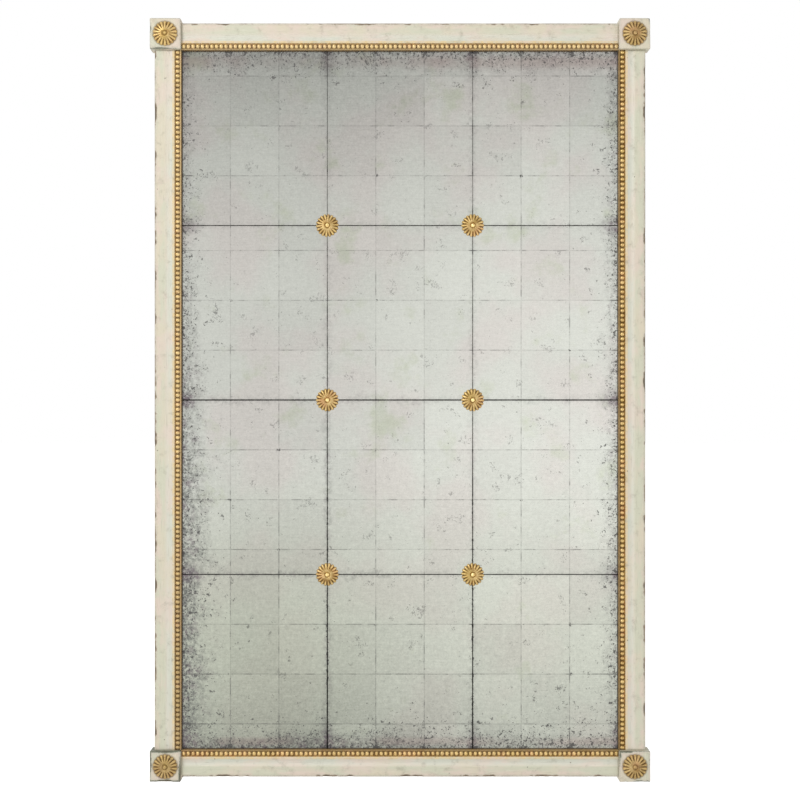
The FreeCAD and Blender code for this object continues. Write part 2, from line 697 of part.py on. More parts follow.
FRAME_HANGER_TOP = f"({FRAME_WEB_TOP} + sizes.hanger_flange)"
LIP_TIP = f"({WEB_TOP} + sizes.lip_clearance)"
frame_section = [
    (f"-{LIP_TIP}", f"-{LIP_BACK}"),
    (f"-{LIP_TIP}", f"-{LIP_BACK} - sizes.hanger_plate"),
    (f"-{HOOK_LEVEL}", f"-{LIP_BACK} - sizes.hanger_plate"),
    (f"-{HOOK_LEVEL}", f"-{PANEL_BACK}"),
    (f"-{FRAME_HANGER_TOP}", f"-{PANEL_BACK}"),
    (f"-{FRAME_HANGER_TOP}", f"sizes.hanger_plate - {PANEL_BACK}"),
    (f"-{FRAME_WEB_TOP}", f"sizes.hanger_plate - {PANEL_BACK}"),
    (f"-{FRAME_WEB_TOP}", f"-{LIP_BACK}"),
]
LENGTHWAYS = FreeCAD.Rotation(INTO_WALL, 90)
HANGER_MIDDLES = {"left": "(-sizes.hanger_spacing / 2)", "right": "(sizes.hanger_spacing / 2)"}


def hanger(name, section, middle, length):
    """A short length of hooked extrusion, set out from its middle."""
    blank = profiled_bar(f"{name}_blank", section, length)
    place(blank, f"{middle} - {length} / 2", "0", "0", LENGTHWAYS)
    return blank


for side, middle in HANGER_MIDDLES.items():
    name = f"wall_hanger_{side}"
    blank = hanger(name, wall_section, middle, "sizes.wall_hanger_length")
    through = ("-sizes.overrun", "sizes.hanger_plate + sizes.hanger_gap")
    holes = []
    for end in (-1, 1):
        x = f"{middle} + {end} * sizes.wall_hole_spacing / 2"
        holes.append(rod(f"{name}_hole_{len(holes) + 1}", "sizes.wall_hole_radius", through, x, "0"))
    keep(name, cut(name, blank, *holes))

hanger_places = []
for middle in HANGER_MIDDLES.values():
    for count in range(SCREWS_PER_HANGER):
        share = (count + 1 / 2) / SCREWS_PER_HANGER - 1 / 2
        x = f"{middle} + {share} * sizes.frame_hanger_length"
        hanger_places.append((x, f"{FRAME_WEB_TOP} + {FLANGE_HALF}"))
hanger_screws, hanger_bores = sunk_screws("hanger", hanger_places, f"({PANEL_BACK} - sizes.hanger_plate)")
keep("frame_hanger_screws", hanger_screws)
for side, middle in HANGER_MIDDLES.items():
    name = f"frame_hanger_{side}"
    blank = hanger(name, frame_section, middle, "sizes.frame_hanger_length")
    keep(name, cut(name, blank, hanger_bores))

# The plywood panel in the rabbet
panel = slab(
    "panel_blank",
    (f"{SIGHT_LEFT} - sizes.panel_overlap", f"{SIGHT_RIGHT} + sizes.panel_overlap"),
    (PANEL_BACK, PANEL_FRONT),
    (f"{SIGHT_BOTTOM} - sizes.panel_overlap", f"{SIGHT_TOP} + sizes.panel_overlap"),
)
keep("backing_panel", cut("backing_panel", panel, rosette_screw_cutter, hanger_bores))

# Felt bumpers behind the blocks, which keep the frame parallel to the wall
bumpers = []
for corner, (side_x, side_z, quarter) in CORNERS.items():
    centre_x, centre_z = block_centres[corner]
    inset = f"{BUMPER_INSET_SHARE} * {BLOCK_SIZE} / 2"
    x = f"{centre_x} + {side_x} * {inset}"
    z = f"{centre_z} + {side_z} * {inset}"
    bumpers.append(rod(f"bumper_{corner}", "sizes.bumper_radius", ("0", FRAME_BACK), x, z))
keep("wall_bumpers", group("wall_bumpers", bumpers))

doc.recompute()
for piece in doc.Objects:
    if "Invalid" in piece.State or "Error" in piece.State:
        raise RuntimeError(f"{piece.Name} failed: {piece.State}")
for piece in nodes:
    if piece.Shape.isNull() or not piece.Shape.isValid():
        raise RuntimeError(f"{piece.Label} has no valid shape")

os.makedirs("parts", exist_ok=True)
for piece in nodes:
    piece.Shape.exportStep(os.path.join("parts", f"{piece.Label}.step"))
print(f"{len(nodes)} nodes written")
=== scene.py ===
import math

import bmesh
import bpy
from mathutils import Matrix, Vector, noise


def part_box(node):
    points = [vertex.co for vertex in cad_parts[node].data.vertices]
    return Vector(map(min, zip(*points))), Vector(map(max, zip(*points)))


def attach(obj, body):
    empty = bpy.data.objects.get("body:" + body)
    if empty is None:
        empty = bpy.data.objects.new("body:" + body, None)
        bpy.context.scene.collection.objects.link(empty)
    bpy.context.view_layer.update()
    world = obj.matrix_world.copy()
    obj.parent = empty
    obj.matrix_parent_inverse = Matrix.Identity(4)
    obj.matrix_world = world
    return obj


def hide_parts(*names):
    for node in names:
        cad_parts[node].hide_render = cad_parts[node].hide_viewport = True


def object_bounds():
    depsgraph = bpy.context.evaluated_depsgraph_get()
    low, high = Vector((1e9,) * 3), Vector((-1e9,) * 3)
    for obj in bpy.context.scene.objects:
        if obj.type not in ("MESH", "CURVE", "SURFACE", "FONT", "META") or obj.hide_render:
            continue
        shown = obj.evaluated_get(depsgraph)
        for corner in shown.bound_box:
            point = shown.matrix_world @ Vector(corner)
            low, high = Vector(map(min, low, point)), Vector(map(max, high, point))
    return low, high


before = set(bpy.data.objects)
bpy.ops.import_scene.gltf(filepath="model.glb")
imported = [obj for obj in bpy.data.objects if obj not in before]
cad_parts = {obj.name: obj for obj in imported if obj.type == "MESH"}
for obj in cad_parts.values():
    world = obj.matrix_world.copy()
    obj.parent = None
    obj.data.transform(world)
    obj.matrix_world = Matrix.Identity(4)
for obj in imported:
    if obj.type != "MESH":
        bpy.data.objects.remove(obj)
cad_low, cad_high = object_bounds()

# Stiles and rails. Limewood mouldings with a flat face, a shallow scoop, an arris and a ledge for the
# bead strip, gessoed, painted cream and rubbed back to the wood at their edges. Each one butts against two
# corner blocks and is dowelled to them.
sight_right, frame_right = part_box("right_stile")[0].x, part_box("right_stile")[1].x
sight_top, frame_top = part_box("top_rail")[0].z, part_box("top_rail")[1].z
frame_bottom, sight_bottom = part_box("bottom_rail")[0].z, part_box("bottom_rail")[1].z
rail_front, rail_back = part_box("left_stile")[0].y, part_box("left_stile")[1].y
glass_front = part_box("pane_row_1_column_1")[0].y
mirror_middle = (sight_top + sight_bottom) / 2
half_sight_height = (sight_top - sight_bottom) / 2
half_frame_height = (frame_top - frame_bottom) / 2
rail_width = frame_right - sight_right
outer_round = 0.003
scoop_width = 0.013
scoop_depth = 0.0016
arris_width = 0.004
arris_round = 0.0008
ledge_width = 0.0122
ledge_step = 0.0065
rabbet_width = 0.008
widest_facet = 0.003
station_gap = 0.0025
ledge_start = rail_width - ledge_width
ledge_front = rail_front + ledge_step
scoop_start = ledge_start - arris_width - scoop_width


def arc(middle, radius, start, end, steps):
    """Points along an arc of a section, between two angles in degrees, with both ends."""
    points = []
    for step in range(steps + 1):
        angle = math.radians(start + (end - start) * step / steps)
        points.append((middle[0] + radius * math.cos(angle), middle[1] + radius * math.sin(angle)))
    return points


def divided(outline, widest):
    """The same closed outline with points added, so that no side is wider than given."""
    points = []
    for index, end in enumerate(outline):
        start = outline[index - 1]
        pieces = max(1, math.ceil(math.dist(start, end) / widest))
        for piece in range(1, pieces + 1):
            share = piece / pieces
            points.append(tuple(a + (b - a) * share for a, b in zip(start, end)))
    return points


def member_outline():
    """The section of a stile or rail: distance in from its outer edge, and y."""
    scoop_radius = (scoop_width ** 2 / 4 + scoop_depth ** 2) / (2 * scoop_depth)
    half_scoop = math.degrees(math.asin(scoop_width / 2 / scoop_radius))
    scoop_middle = (scoop_start + scoop_width / 2, rail_front + scoop_depth - scoop_radius)
    outline = [(0, rail_back)]
    outline += arc((outer_round, rail_front + outer_round), outer_round, 180, 270, 6)
    outline += arc(scoop_middle, scoop_radius, 90 + half_scoop, 90 - half_scoop, 10)
    outline += arc((ledge_start - arris_round, rail_front + arris_round), arris_round, 270, 360, 3)
    outline += [
        (ledge_start, ledge_front),
        (rail_width, ledge_front),
        (rail_width, glass_front),
        (rail_width - rabbet_width, glass_front),
        (rail_width - rabbet_width, rail_back),
    ]
    return divided(outline, widest_facet)


rub_reach = 0.006
rub_depth = 0.0005
rub_waves = 38
chip_depth = 0.0028
chip_level = 0.12
chip_waves = 26
chip_ripples = 120
chip_start = Vector((7, 3, 5))
stain_reach = 0.01
stain_least = 0.16
stain_most = 0.55
chip_stain = 1.7
sharp_angle = math.radians(38)


def rubbing(place, edge, stain=stain_reach):
    """How far a place is rubbed: its share of colour worn off, and the depth of wood lost with it."""
    near = max(0.0, 1 - edge / rub_reach)
    stained = max(0.0, 1 - edge / stain)
    handling = 0.5 + 0.5 * noise.noise(place * rub_waves)
    knocks = noise.noise(place * chip_waves + chip_start) + 0.5 * noise.noise(place * chip_ripples)
    knocks = max(0.0, knocks - chip_level)
    colour = stained * stained * (stain_least + stain_most * handling) + near * knocks * chip_stain
    return colour, near * (rub_depth * handling + chip_depth * knocks)


def linked(name, mesh):
    """An object for a finished mesh, shaded smooth apart from its sharp edges."""
    mesh.shade_smooth()
    mesh.set_sharp_from_angle(angle=sharp_angle)
    piece = bpy.data.objects.new(name, mesh)
    bpy.context.scene.collection.objects.link(piece)
    return piece


def moulding(name, outline, corner, across, along, length, gap, worn=False):
    """A section run along a line and capped at both ends, with an attribute for its rubbed places."""
    stations = math.ceil(length / gap)
    places = []
    rubs = []
    core = Vector((rub_reach, 0, rail_front + rub_reach))
    for station in range(stations + 1):
        run = corner + along * (length * station / stations)
        for inward, y in outline:
            place = run + across * inward + Vector((0, y, 0))
            edge = max(inward, y - rail_front)
            colour, depth = rubbing(place, edge) if worn else (0.0, 0.0)
            way = core - Vector((inward, 0, y))
            if depth > 0:
                way = way.normalized() * depth
                place += across * way.x + Vector((0, way.z, 0))
            places.append(place)
            rubs.append(colour)
    count = len(outline)
    faces = [list(range(count)), [stations * count + point for point in reversed(range(count))]]
    for station in range(stations):
        for point in range(count):
            first = station * count + point
            second = station * count + (point + 1) % count
            faces.append((second, first, first + count, second + count))
    mesh = bpy.data.meshes.new(name)
    mesh.from_pydata(places, [], faces)
    mesh.attributes.new("rub", "FLOAT", "POINT").data.foreach_set("value", rubs)
    repair = bmesh.new()
    repair.from_mesh(mesh)
    bmesh.ops.recalc_face_normals(repair, faces=repair.faces)
    repair.to_mesh(mesh)
    repair.free()
    return linked(name, mesh)


def srgb(red, green, blue):
    """A colour as a screen shows it, 0 to 255, in the linear values that shaders take."""
    shares = [channel / 255 for channel in (red, green, blue)]
    return (*[c / 12.92 if c <= 0.04045 else ((c + 0.055) / 1.055) ** 2.4 for c in shares], 1)


def put(tree, kind, inputs, **options):
    """Add a node, set its options, feed its inputs from values or sockets, and give its outputs."""
    made = tree.nodes.new(kind)
    for option, value in options.items():
        setattr(made, option, value)
    for name, value in inputs.items():
        if isinstance(value, bpy.types.NodeSocket):
            tree.links.new(value, made.inputs[name])
        else:
            made.inputs[name].default_value = value
    return made.outputs


def maths(tree, operation, *values):
    return put(tree, "ShaderNodeMath", dict(enumerate(values)), operation=operation)[0]


def times(tree, first, second):
    return maths(tree, "MULTIPLY", first, second)


def scaled(tree, value, factor, added):
    return maths(tree, "MULTIPLY_ADD", value, factor, added)


def most(tree, *values):
    """The greatest of several values."""
    greatest = values[0]
    for value in values[1:]:
        greatest = maths(tree, "MAXIMUM", greatest, value)
    return greatest


def fade(tree, value, start, end, low=0.0, high=1.0):
    """A smooth step from low to high as a value goes from start to end."""
    levels = {"Value": value, "From Min": start, "From Max": end, "To Min": low, "To Max": high}
    return put(tree, "ShaderNodeMapRange", levels, interpolation_type="SMOOTHSTEP")["Result"]


def mixed(tree, share, first, second):
    """Two colours mixed by a share, through the mix node's sockets for colours."""
    return put(tree, "ShaderNodeMix", {0: share, 6: first, 7: second}, data_type="RGBA")[2]


def band(tree, value, start, full, fading, end):
    """1 where a value lies from full to fading, easing down to 0 at start and end."""
    return times(tree, fade(tree, value, start, full), fade(tree, value, end, fading))


def stretched(tree, place, scale):
    return put(tree, "ShaderNodeVectorMath", {0: place, 1: scale}, operation="MULTIPLY")["Vector"]


def cloud(tree, place, scale, detail=4.0, roughness=0.55):
    levels = {"Vector": place, "Scale": scale, "Detail": detail, "Roughness": roughness}
    return put(tree, "ShaderNodeTexNoise", levels)[0]


def finish(name, metallic=0.0, roughness=0.5):
    """A new material: itself, its tree, its shader's inputs and its object coordinates."""
    material = bpy.data.materials.new(name)
    material.use_nodes = True
    tree = material.node_tree
    inputs = tree.nodes["Principled BSDF"].inputs
    inputs["Metallic"].default_value = metallic
    inputs["Roughness"].default_value = roughness
    return material, tree, inputs, put(tree, "ShaderNodeTexCoord", {})["Object"]


def by_axis(tree, vector):
    return put(tree, "ShaderNodeSeparateXYZ", {"Vector": vector})


def bumped(tree, inputs, height, depth, strength=1.0):
    levels = {"Strength": strength, "Distance": depth, "Height": height}
    tree.links.new(put(tree, "ShaderNodeBump", levels)["Normal"], inputs["Normal"])


cream_warm = srgb(218, 208, 186)
cream_rosy = srgb(222, 206, 191)
cream_green = srgb(208, 208, 186)
cream_cool = srgb(212, 213, 200)
cream_pale = srgb(236, 230, 216)
arris_gilt = srgb(228, 203, 152)
step_gold = srgb(176, 144, 94)
gesso_white = srgb(226, 219, 205)
bared_wood = srgb(134, 116, 94)
old_dirt = srgb(94, 84, 68)
patina_grey = srgb(156, 151, 132)
flat_band = (0.006, 0.014, 0.018, 0.024)
lip_band = (0.018, 0.0215, 0.024, 0.0285)
scoop_band = (0.02, 0.025, 0.032, 0.0345)
ridge_rise = (0.0328, 0.0345)
step_above = 0.0006
step_below = 0.0004
seam_reach = 0.004
seam_core = 0.0004


def cream_paint(name, run, across=None, end=None, bare=bared_wood):
    """Paint brushed on along one axis. across and end give distances from a member's edge and end."""
    material, tree, inputs, place = finish(name)
    along = {"X": (26, 700, 700), "Z": (700, 700, 26)}[run]
    drawn = {"X": (10, 34, 34), "Z": (34, 34, 10)}[run]
    strokes = cloud(tree, stretched(tree, place, along), 1.0, 5, 0.6)
    blotches = cloud(tree, stretched(tree, place, drawn), 1.0, 5, 0.6)
    grains = cloud(tree, place, 420, 4, 0.7)
    tints = cloud(tree, place, 15, 4, 0.6)
    colour = mixed(tree, fade(tree, tints, 0.44, 0.58), cream_warm, cream_rosy)
    colour = mixed(tree, fade(tree, blotches, 0.46, 0.6, 0, 0.9), colour, cream_green)
    if across:
        axes = by_axis(tree, place)
        inward = across(tree, axes)
        middle = band(tree, inward, *flat_band)
        patchy = fade(tree, blotches, 0.36, 0.58, 0.15, 0.75)
        colour = mixed(tree, times(tree, middle, patchy), colour, cream_green)
        hollow = band(tree, inward, *scoop_band)
        colour = mixed(tree, times(tree, hollow, patchy), colour, cream_cool)
        # a paler line along the scoop's lip: worn paint and a painted highlight
        lip = band(tree, inward, *lip_band)
        colour = mixed(tree, times(tree, lip, 0.25), colour, cream_pale)
        ridge = fade(tree, inward, *ridge_rise)
        rubbed_gold = fade(tree, cloud(tree, place, 130, 5, 0.65), 0.4, 0.62, 0.3, 0.9)
        colour = mixed(tree, times(tree, ridge, rubbed_gold), colour, arris_gilt)
        step = fade(tree, inward, ledge_start - step_above, ledge_start + step_below)
        colour = mixed(tree, step, colour, step_gold)
        # where a member meets a block: grey patina in the joint and a soft painted shade beside it
        seam_patina_and_shade = fade(tree, end(tree, axes), seam_reach, seam_core, 0, 0.8)
        colour = mixed(tree, seam_patina_and_shade, colour, patina_grey)
    colour = mixed(tree, fade(tree, strokes, 0.6, 0.72, 0, 0.6), colour, cream_pale)
    colour = mixed(tree, fade(tree, strokes, 0.42, 0.3, 0, 0.4), colour, patina_grey)
    smudges = fade(tree, cloud(tree, place, 58, 8, 0.7), 0.5, 0.8, 0, 0.7)
    colour = mixed(tree, smudges, colour, patina_grey)
    cells = {"Vector": place, "Scale": 95}
    cracks = put(tree, "ShaderNodeTexVoronoi", cells, feature="DISTANCE_TO_EDGE")["Distance"]
    crazed = times(tree, fade(tree, cracks, 0.02, 0.004), fade(tree, blotches, 0.5, 0.7, 0, 0.2))
    colour = mixed(tree, crazed, colour, patina_grey)
    rub = put(tree, "ShaderNodeAttribute", {}, attribute_name="rub")["Fac"]
    ragged = maths(tree, "ADD", rub, scaled(tree, grains, 0.6, -0.3))
    colour = mixed(tree, fade(tree, rub, 0.03, 0.4, 0, 0.6), colour, patina_grey)
    colour = mixed(tree, fade(tree, ragged, 0.14, 0.26, 0, 0.5), colour, gesso_white)
    colour = mixed(tree, fade(tree, ragged, 0.24, 0.46, 0, 0.85), colour, bare)
    colour = mixed(tree, fade(tree, ragged, 0.55, 0.8, 0, 0.9), colour, old_dirt)
    spots = put(tree, "ShaderNodeTexVoronoi", {"Vector": place, "Scale": 75})
    chance = put(tree, "ShaderNodeSeparateColor", {"Color": spots["Color"]})["Red"]
    specks = times(tree, fade(tree, spots["Distance"], 0.12, 0.05), fade(tree, chance, 0.86, 0.92))
    colour = mixed(tree, times(tree, specks, 0.75), colour, old_dirt)
    tree.links.new(colour, inputs["Base Color"])
    tree.links.new(fade(tree, ragged, 0.0, 0.5, 0.5, 0.78), inputs["Roughness"])
    inputs["Specular IOR Level"].default_value = 0.35
    height = scaled(tree, ragged, -0.8, strokes)
    bumped(tree, inputs, scaled(tree, crazed, -0.5, height), 0.0006, 0.5)
    return material


def stile_across(tree, axes):
    return maths(tree, "SUBTRACT", frame_right, maths(tree, "ABSOLUTE", axes["X"]))


def stile_end(tree, axes):
    height = maths(tree, "ABSOLUTE", maths(tree, "SUBTRACT", axes["Z"], mirror_middle))
    return maths(tree, "SUBTRACT", half_sight_height, height)


def rail_across(tree, axes):
    height = maths(tree, "ABSOLUTE", maths(tree, "SUBTRACT", axes["Z"], mirror_middle))
    return maths(tree, "SUBTRACT", half_frame_height, height)


def rail_end(tree, axes):
    return maths(tree, "SUBTRACT", sight_right, maths(tree, "ABSOLUTE", axes["X"]))


def raw_wood(name, run, pale, dark):
    """Bare planed wood with its grain along one axis."""
    material, tree, inputs, place = finish(name, roughness=0.72)
    figure = {"X": (3, 60, 60), "Z": (60, 60, 3)}[run]
    pores = {"X": (30, 1500, 1500), "Z": (1500, 1500, 30)}[run]
    bands = cloud(tree, stretched(tree, place, figure), 1.0, 6, 0.6)
    lines = cloud(tree, stretched(tree, place, pores), 1.0, 3, 0.6)
    colour = mixed(tree, fade(tree, bands, 0.32, 0.68), pale, dark)
    colour = mixed(tree, fade(tree, lines, 0.58, 0.75, 0, 0.5), colour, dark)
    handled = fade(tree, cloud(tree, place, 18, 5, 0.65), 0.55, 0.8, 0, 0.35)
    colour = mixed(tree, handled, colour, old_dirt)
    tree.links.new(colour, inputs["Base Color"])
    bumped(tree, inputs, lines, 0.0003, 0.4)
    return material


lime_pale = srgb(205, 180, 140)
lime_dark = srgb(165, 132, 92)
face_slack = 0.0001
wallward = 0.7
stile_finish = cream_paint("cream_paint_stile", "Z", stile_across, stile_end)
rail_finish = cream_paint("cream_paint_rail", "X", rail_across, rail_end)
stile_wood = raw_wood("limewood_upright", "Z", lime_pale, lime_dark)
rail_wood = raw_wood("limewood_level", "X", lime_pale, lime_dark)


def bare_behind(piece, wood):
    """Leave the paint off the faces that look at the wall and those inside the rabbet."""
    piece.data.materials.append(wood)
    for face in piece.data.polygons:
        middle = face.center
        in_rabbet = abs(middle.x) < sight_right + rabbet_width and middle.y > glass_front - face_slack
        in_rabbet = in_rabbet and abs(middle.z - mirror_middle) < half_sight_height + rabbet_width
        face.material_index = 1 if face.normal.y > wallward or in_rabbet else 0


east, up = Vector((1, 0, 0)), Vector((0, 0, 1))

# for each member: the corner it starts from, the way across it, the way along it, and its length
member_runs = {
    "left_stile": (Vector((-frame_right, 0, sight_bottom)), east, up, 2 * half_sight_height),
    "right_stile": (Vector((frame_right, 0, sight_top)), -east, -up, 2 * half_sight_height),
    "top_rail": (Vector((-sight_right, 0, frame_top)), -up, east, 2 * sight_right),
    "bottom_rail": (Vector((sight_right, 0, frame_bottom)), up, -east, 2 * sight_right),
}
section = member_outline()
for node, run in member_runs.items():
    member = moulding(f"painted_{node}", section, *run, station_gap, worn=True)
    upright = node.endswith("stile")
    member.data.materials.append(stile_finish if upright else rail_finish)
    bare_behind(member, stile_wood if upright else rail_wood)
    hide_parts(node)
    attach(member, "mirror")

# Corner blocks. Square limewood blocks that stand proud of the members in front and at the outer edges,
# notched behind for the glass, painted like the members and worn round at every arris.
block_round = 0.0018
block_cell = 0.003
arris_steps = 3
block_waves = 17
block_stain = 0.009
block_wax = srgb(106, 112, 94)
upper_face_dark = srgb(88, 94, 78)
rosette_dirt_and_shadow = srgb(132, 112, 78)
rosette_ring_spread = 0.008
rosette_ring_lap = 0.001


def block_stops(low, high, *extra):
    """Where a block is divided along an axis: finely at its arrises, evenly between, and at extras."""
    stops = [low + block_round * step / arris_steps for step in range(arris_steps + 1)]
    stops += [high - block_round * step / arris_steps for step in range(arris_steps + 1)]
    inside = high - low - 2 * block_round
    cells = round(inside / block_cell)
    stops += [low + block_round + inside * cell / cells for cell in range(1, cells)]
    stops = [stop for stop in stops if all(abs(stop - place) > block_cell / 3 for place in extra)]
    return sorted(stops + list(extra))


def worn_block(name, low, high, notch_x, notch_z):
    """A rounded block of cells, without those of its notch, with an attribute for rubbed places."""
    stops = [
        block_stops(low.x, high.x, notch_x),
        block_stops(low.y, high.y, glass_front),
        block_stops(low.z, high.z, notch_z),
    ]
    inner_x = -1 if notch_x > 0 else 1
    inner_z = -1 if notch_z > mirror_middle else 1

    # the lower left block is the grimiest, and the upper two are the cleanest
    foot_grime = 2.0 if inner_x > 0 else 1.0
    grime = foot_grime if inner_z > 0 else 0.7

    def filled(cell):
        if any(index < 0 or index >= len(line) - 1 for index, line in zip(cell, stops)):
            return False
        middle = [(line[index] + line[index + 1]) / 2 for index, line in zip(cell, stops)]
        beside = (middle[0] - notch_x) * inner_x > 0 and (middle[2] - notch_z) * inner_z > 0
        return not (beside and middle[1] > glass_front)

    corners = {}
    faces = []
    around = ((0, 0), (1, 0), (1, 1), (0, 1))
    for i in range(len(stops[0]) - 1):
        for j in range(len(stops[1]) - 1):
            for k in range(len(stops[2]) - 1):
                if not filled((i, j, k)):
                    continue
                for axis in range(3):
                    for side in (-1, 1):
                        beyond = [i, j, k]
                        beyond[axis] += side
                        if filled(beyond):
                            continue
                        face = []
                        for first, second in around:
                            key = [i, j, k]
                            key[axis] += max(side, 0)
                            key[(axis + 1) % 3] += first
                            key[(axis + 2) % 3] += second
                            face.append(corners.setdefault(tuple(key), len(corners)))
                        faces.append(face if side > 0 else face[::-1])
    places = []
    rubs = []
    inset = Vector((block_round,) * 3)
    for key in corners:
        place = Vector([line[index] for index, line in zip(key, stops)])
        core = Vector([min(max(p, a), b) for p, a, b in zip(place, low + inset, high - inset)])
        reach = place - core
        edge = sorted(min(p - a, b - p) for p, a, b in zip(place, low, high))[1]
        colour, depth = rubbing(place, edge, block_stain)
        colour *= (0.2 + 0.6 * (1 + noise.noise(place * block_waves))) * grime
        if reach.length > 0:
            place = core + reach.normalized() * (block_round - min(depth, block_round))
        places.append(place)
        rubs.append(colour)
    mesh = bpy.data.meshes.new(name)
    mesh.from_pydata(places, [], faces)
    mesh.attributes.new("rub", "FLOAT", "POINT").data.foreach_set("value", rubs)
    return linked(name, mesh)


def waxed_paint():
    """Block paint, darker on upward faces, with dirt and a painted shadow round the rosettes."""
    material = cream_paint("cream_paint_block", "Z", bare=block_wax)
    tree = material.node_tree
    colour = tree.nodes["Principled BSDF"].inputs["Base Color"]
    painted = colour.links[0].from_socket
    coordinates = put(tree, "ShaderNodeTexCoord", {})
    axes = by_axis(tree, coordinates["Object"])
    low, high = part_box("corner_block_top_right")
    height = maths(tree, "ABSOLUTE", maths(tree, "SUBTRACT", axes["Z"], mirror_middle))
    from_middle = put(tree, "ShaderNodeCombineXYZ", {
        "X": maths(tree, "SUBTRACT", maths(tree, "ABSOLUTE", axes["X"]), (low.x + high.x) / 2),
        "Z": maths(tree, "SUBTRACT", height, (low.z + high.z) / 2 - mirror_middle),
    })["Vector"]
    out = put(tree, "ShaderNodeVectorMath", {0: from_middle}, operation="LENGTH")["Value"]
    # a brown ring round each rosette: dirt and a painted shadow of the rosette on the block
    rosette_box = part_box("corner_rosette_top_right")
    rosette_radius = (rosette_box[1].x - rosette_box[0].x) / 2
    uneven = cloud(tree, coordinates["Object"], 90, 5, 0.65)
    ring = scaled(tree, uneven, rosette_ring_spread, rosette_radius - rosette_ring_lap)
    ringed = fade(tree, out, ring, rosette_radius - 1.5 * rosette_ring_lap, 0, 0.75)
    painted = mixed(tree, ringed, painted, rosette_dirt_and_shadow)
    # darker on the upward faces, more so on the left blocks
    facing = by_axis(tree, coordinates["Normal"])["Z"]
    darkened_above = times(tree, fade(tree, facing, 0.5, 0.8), fade(tree, uneven, 0.3, 0.6, 0.5, 0.9))
    darkened_above = times(tree, darkened_above, fade(tree, axes["X"], 0.2, -0.2, 0.45, 1.0))
    tree.links.new(mixed(tree, darkened_above, painted, upper_face_dark), colour)
    return material


block_finish = waxed_paint()
for rise in ("top", "bottom"):
    for hand in ("left", "right"):
        node = f"corner_block_{rise}_{hand}"
        notch_x = (sight_right + rabbet_width) * (1 if hand == "right" else -1)
        notch_z = sight_top + rabbet_width if rise == "top" else sight_bottom - rabbet_width
        block = worn_block(f"painted_{node}", *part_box(node), notch_x, notch_z)
        block.data.materials.append(block_finish)
        bare_behind(block, stile_wood)
        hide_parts(node)
        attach(block, "mirror")

# Dowels and pegs. Turned beech, glued into the ends of the members, the blocks and the backs of the
# corner rosettes. They are out of sight once the frame is together.
beech_pale = srgb(214, 178, 132)
beech_dark = srgb(170, 124, 82)


def dress(material, *nodes):
    """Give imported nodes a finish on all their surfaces."""
    for node in nodes:
        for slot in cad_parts[node].material_slots:
            slot.material = material


dress(raw_wood("beech", "X", beech_pale, beech_dark), "corner_dowels", "rosette_pegs")

# Backing panel. Birch plywood that fills the rabbet behind the glass and carries its weight. Its back is
# left bare, with the long figure of a rotary-cut veneer upright. Its front, which shows in the joints of
# the panes, is sealed grey, pale at the top and dark at the foot, which also paints the shade in the
# joints.
birch_pale = srgb(216, 186, 142)
birch_dark = srgb(184, 146, 100)
sealer_and_shade_pale = srgb(176, 172, 162)
sealer_and_shade_dark = srgb(40, 38, 36)
ply_pitch = 0.0015
sealer_and_shade_top = 0.6
sealer_and_shade_foot = 0.55


def plywood():
    material, tree, inputs, place = finish("birch_plywood", roughness=0.7)
    axes = by_axis(tree, place)
    wander = cloud(tree, stretched(tree, place, (5, 5, 1.2)), 1.0, 3, 0.5)
    drift = {0: wander, 1: (0.2, 0, 0), 2: place}
    shifted = put(tree, "ShaderNodeVectorMath", drift, operation="MULTIPLY_ADD")
    figure = cloud(tree, stretched(tree, shifted["Vector"], (70, 70, 1.6)), 1.0, 7, 0.62)
    pores = cloud(tree, stretched(tree, place, (1400, 1400, 45)), 1.0, 3, 0.6)
    colour = mixed(tree, fade(tree, figure, 0.36, 0.64), birch_pale, birch_dark)
    colour = mixed(tree, fade(tree, pores, 0.56, 0.74, 0, 0.55), colour, birch_dark)
    ply = maths(tree, "PINGPONG", axes["Y"], ply_pitch)
    facing = by_axis(tree, put(tree, "ShaderNodeTexCoord", {})["Normal"])["Y"]
    edges = fade(tree, maths(tree, "ABSOLUTE", facing), 0.6, 0.4)
    layers = times(tree, fade(tree, ply, 0.0005, 0.001), edges)
    colour = mixed(tree, times(tree, layers, 0.7), colour, beech_dark)
    stains = fade(tree, cloud(tree, place, 7, 6, 0.6), 0.56, 0.74, 0, 0.3)
    colour = mixed(tree, stains, colour, old_dirt)
    # the front: grey sealer, pale at the top and dark at the foot, that also serves as painted shade in
    # the joints
    lower = fade(tree, axes["Z"], mirror_middle + sealer_and_shade_top, mirror_middle - sealer_and_shade_foot)
    sealer_and_shade = mixed(tree, lower, sealer_and_shade_pale, sealer_and_shade_dark)
    colour = mixed(tree, fade(tree, facing, -0.4, -0.6), colour, sealer_and_shade)
    tree.links.new(colour, inputs["Base Color"])
    bumped(tree, inputs, pores, 0.0003, 0.4)
    return material


dress(plywood(), "backing_panel")

# Mastic and setting blocks. Ribs of dark neutral-cure mastic bond each pane to the panel, and rubber
# blocks in the bottom rabbet carry the lowest panes.
mastic_dark = srgb(66, 62, 58)
mastic_sheen = srgb(92, 88, 82)
rubber_dark = srgb(38, 38, 38)
rubber_bloom = srgb(70, 70, 68)


def rubbery(name, dark, pale, scale):
    material, tree, inputs, place = finish(name, roughness=0.75)
    bloom = cloud(tree, place, scale, 6, 0.65)
    tree.links.new(mixed(tree, fade(tree, bloom, 0.4, 0.7), dark, pale), inputs["Base Color"])
    bumped(tree, inputs, bloom, 0.0005, 0.5)
    return material


dress(rubbery("mirror_mastic", mastic_dark, mastic_sheen, 90), "mastic_ribs")
dress(rubbery("setting_rubber", rubber_dark, rubber_bloom, 300), "setting_blocks")
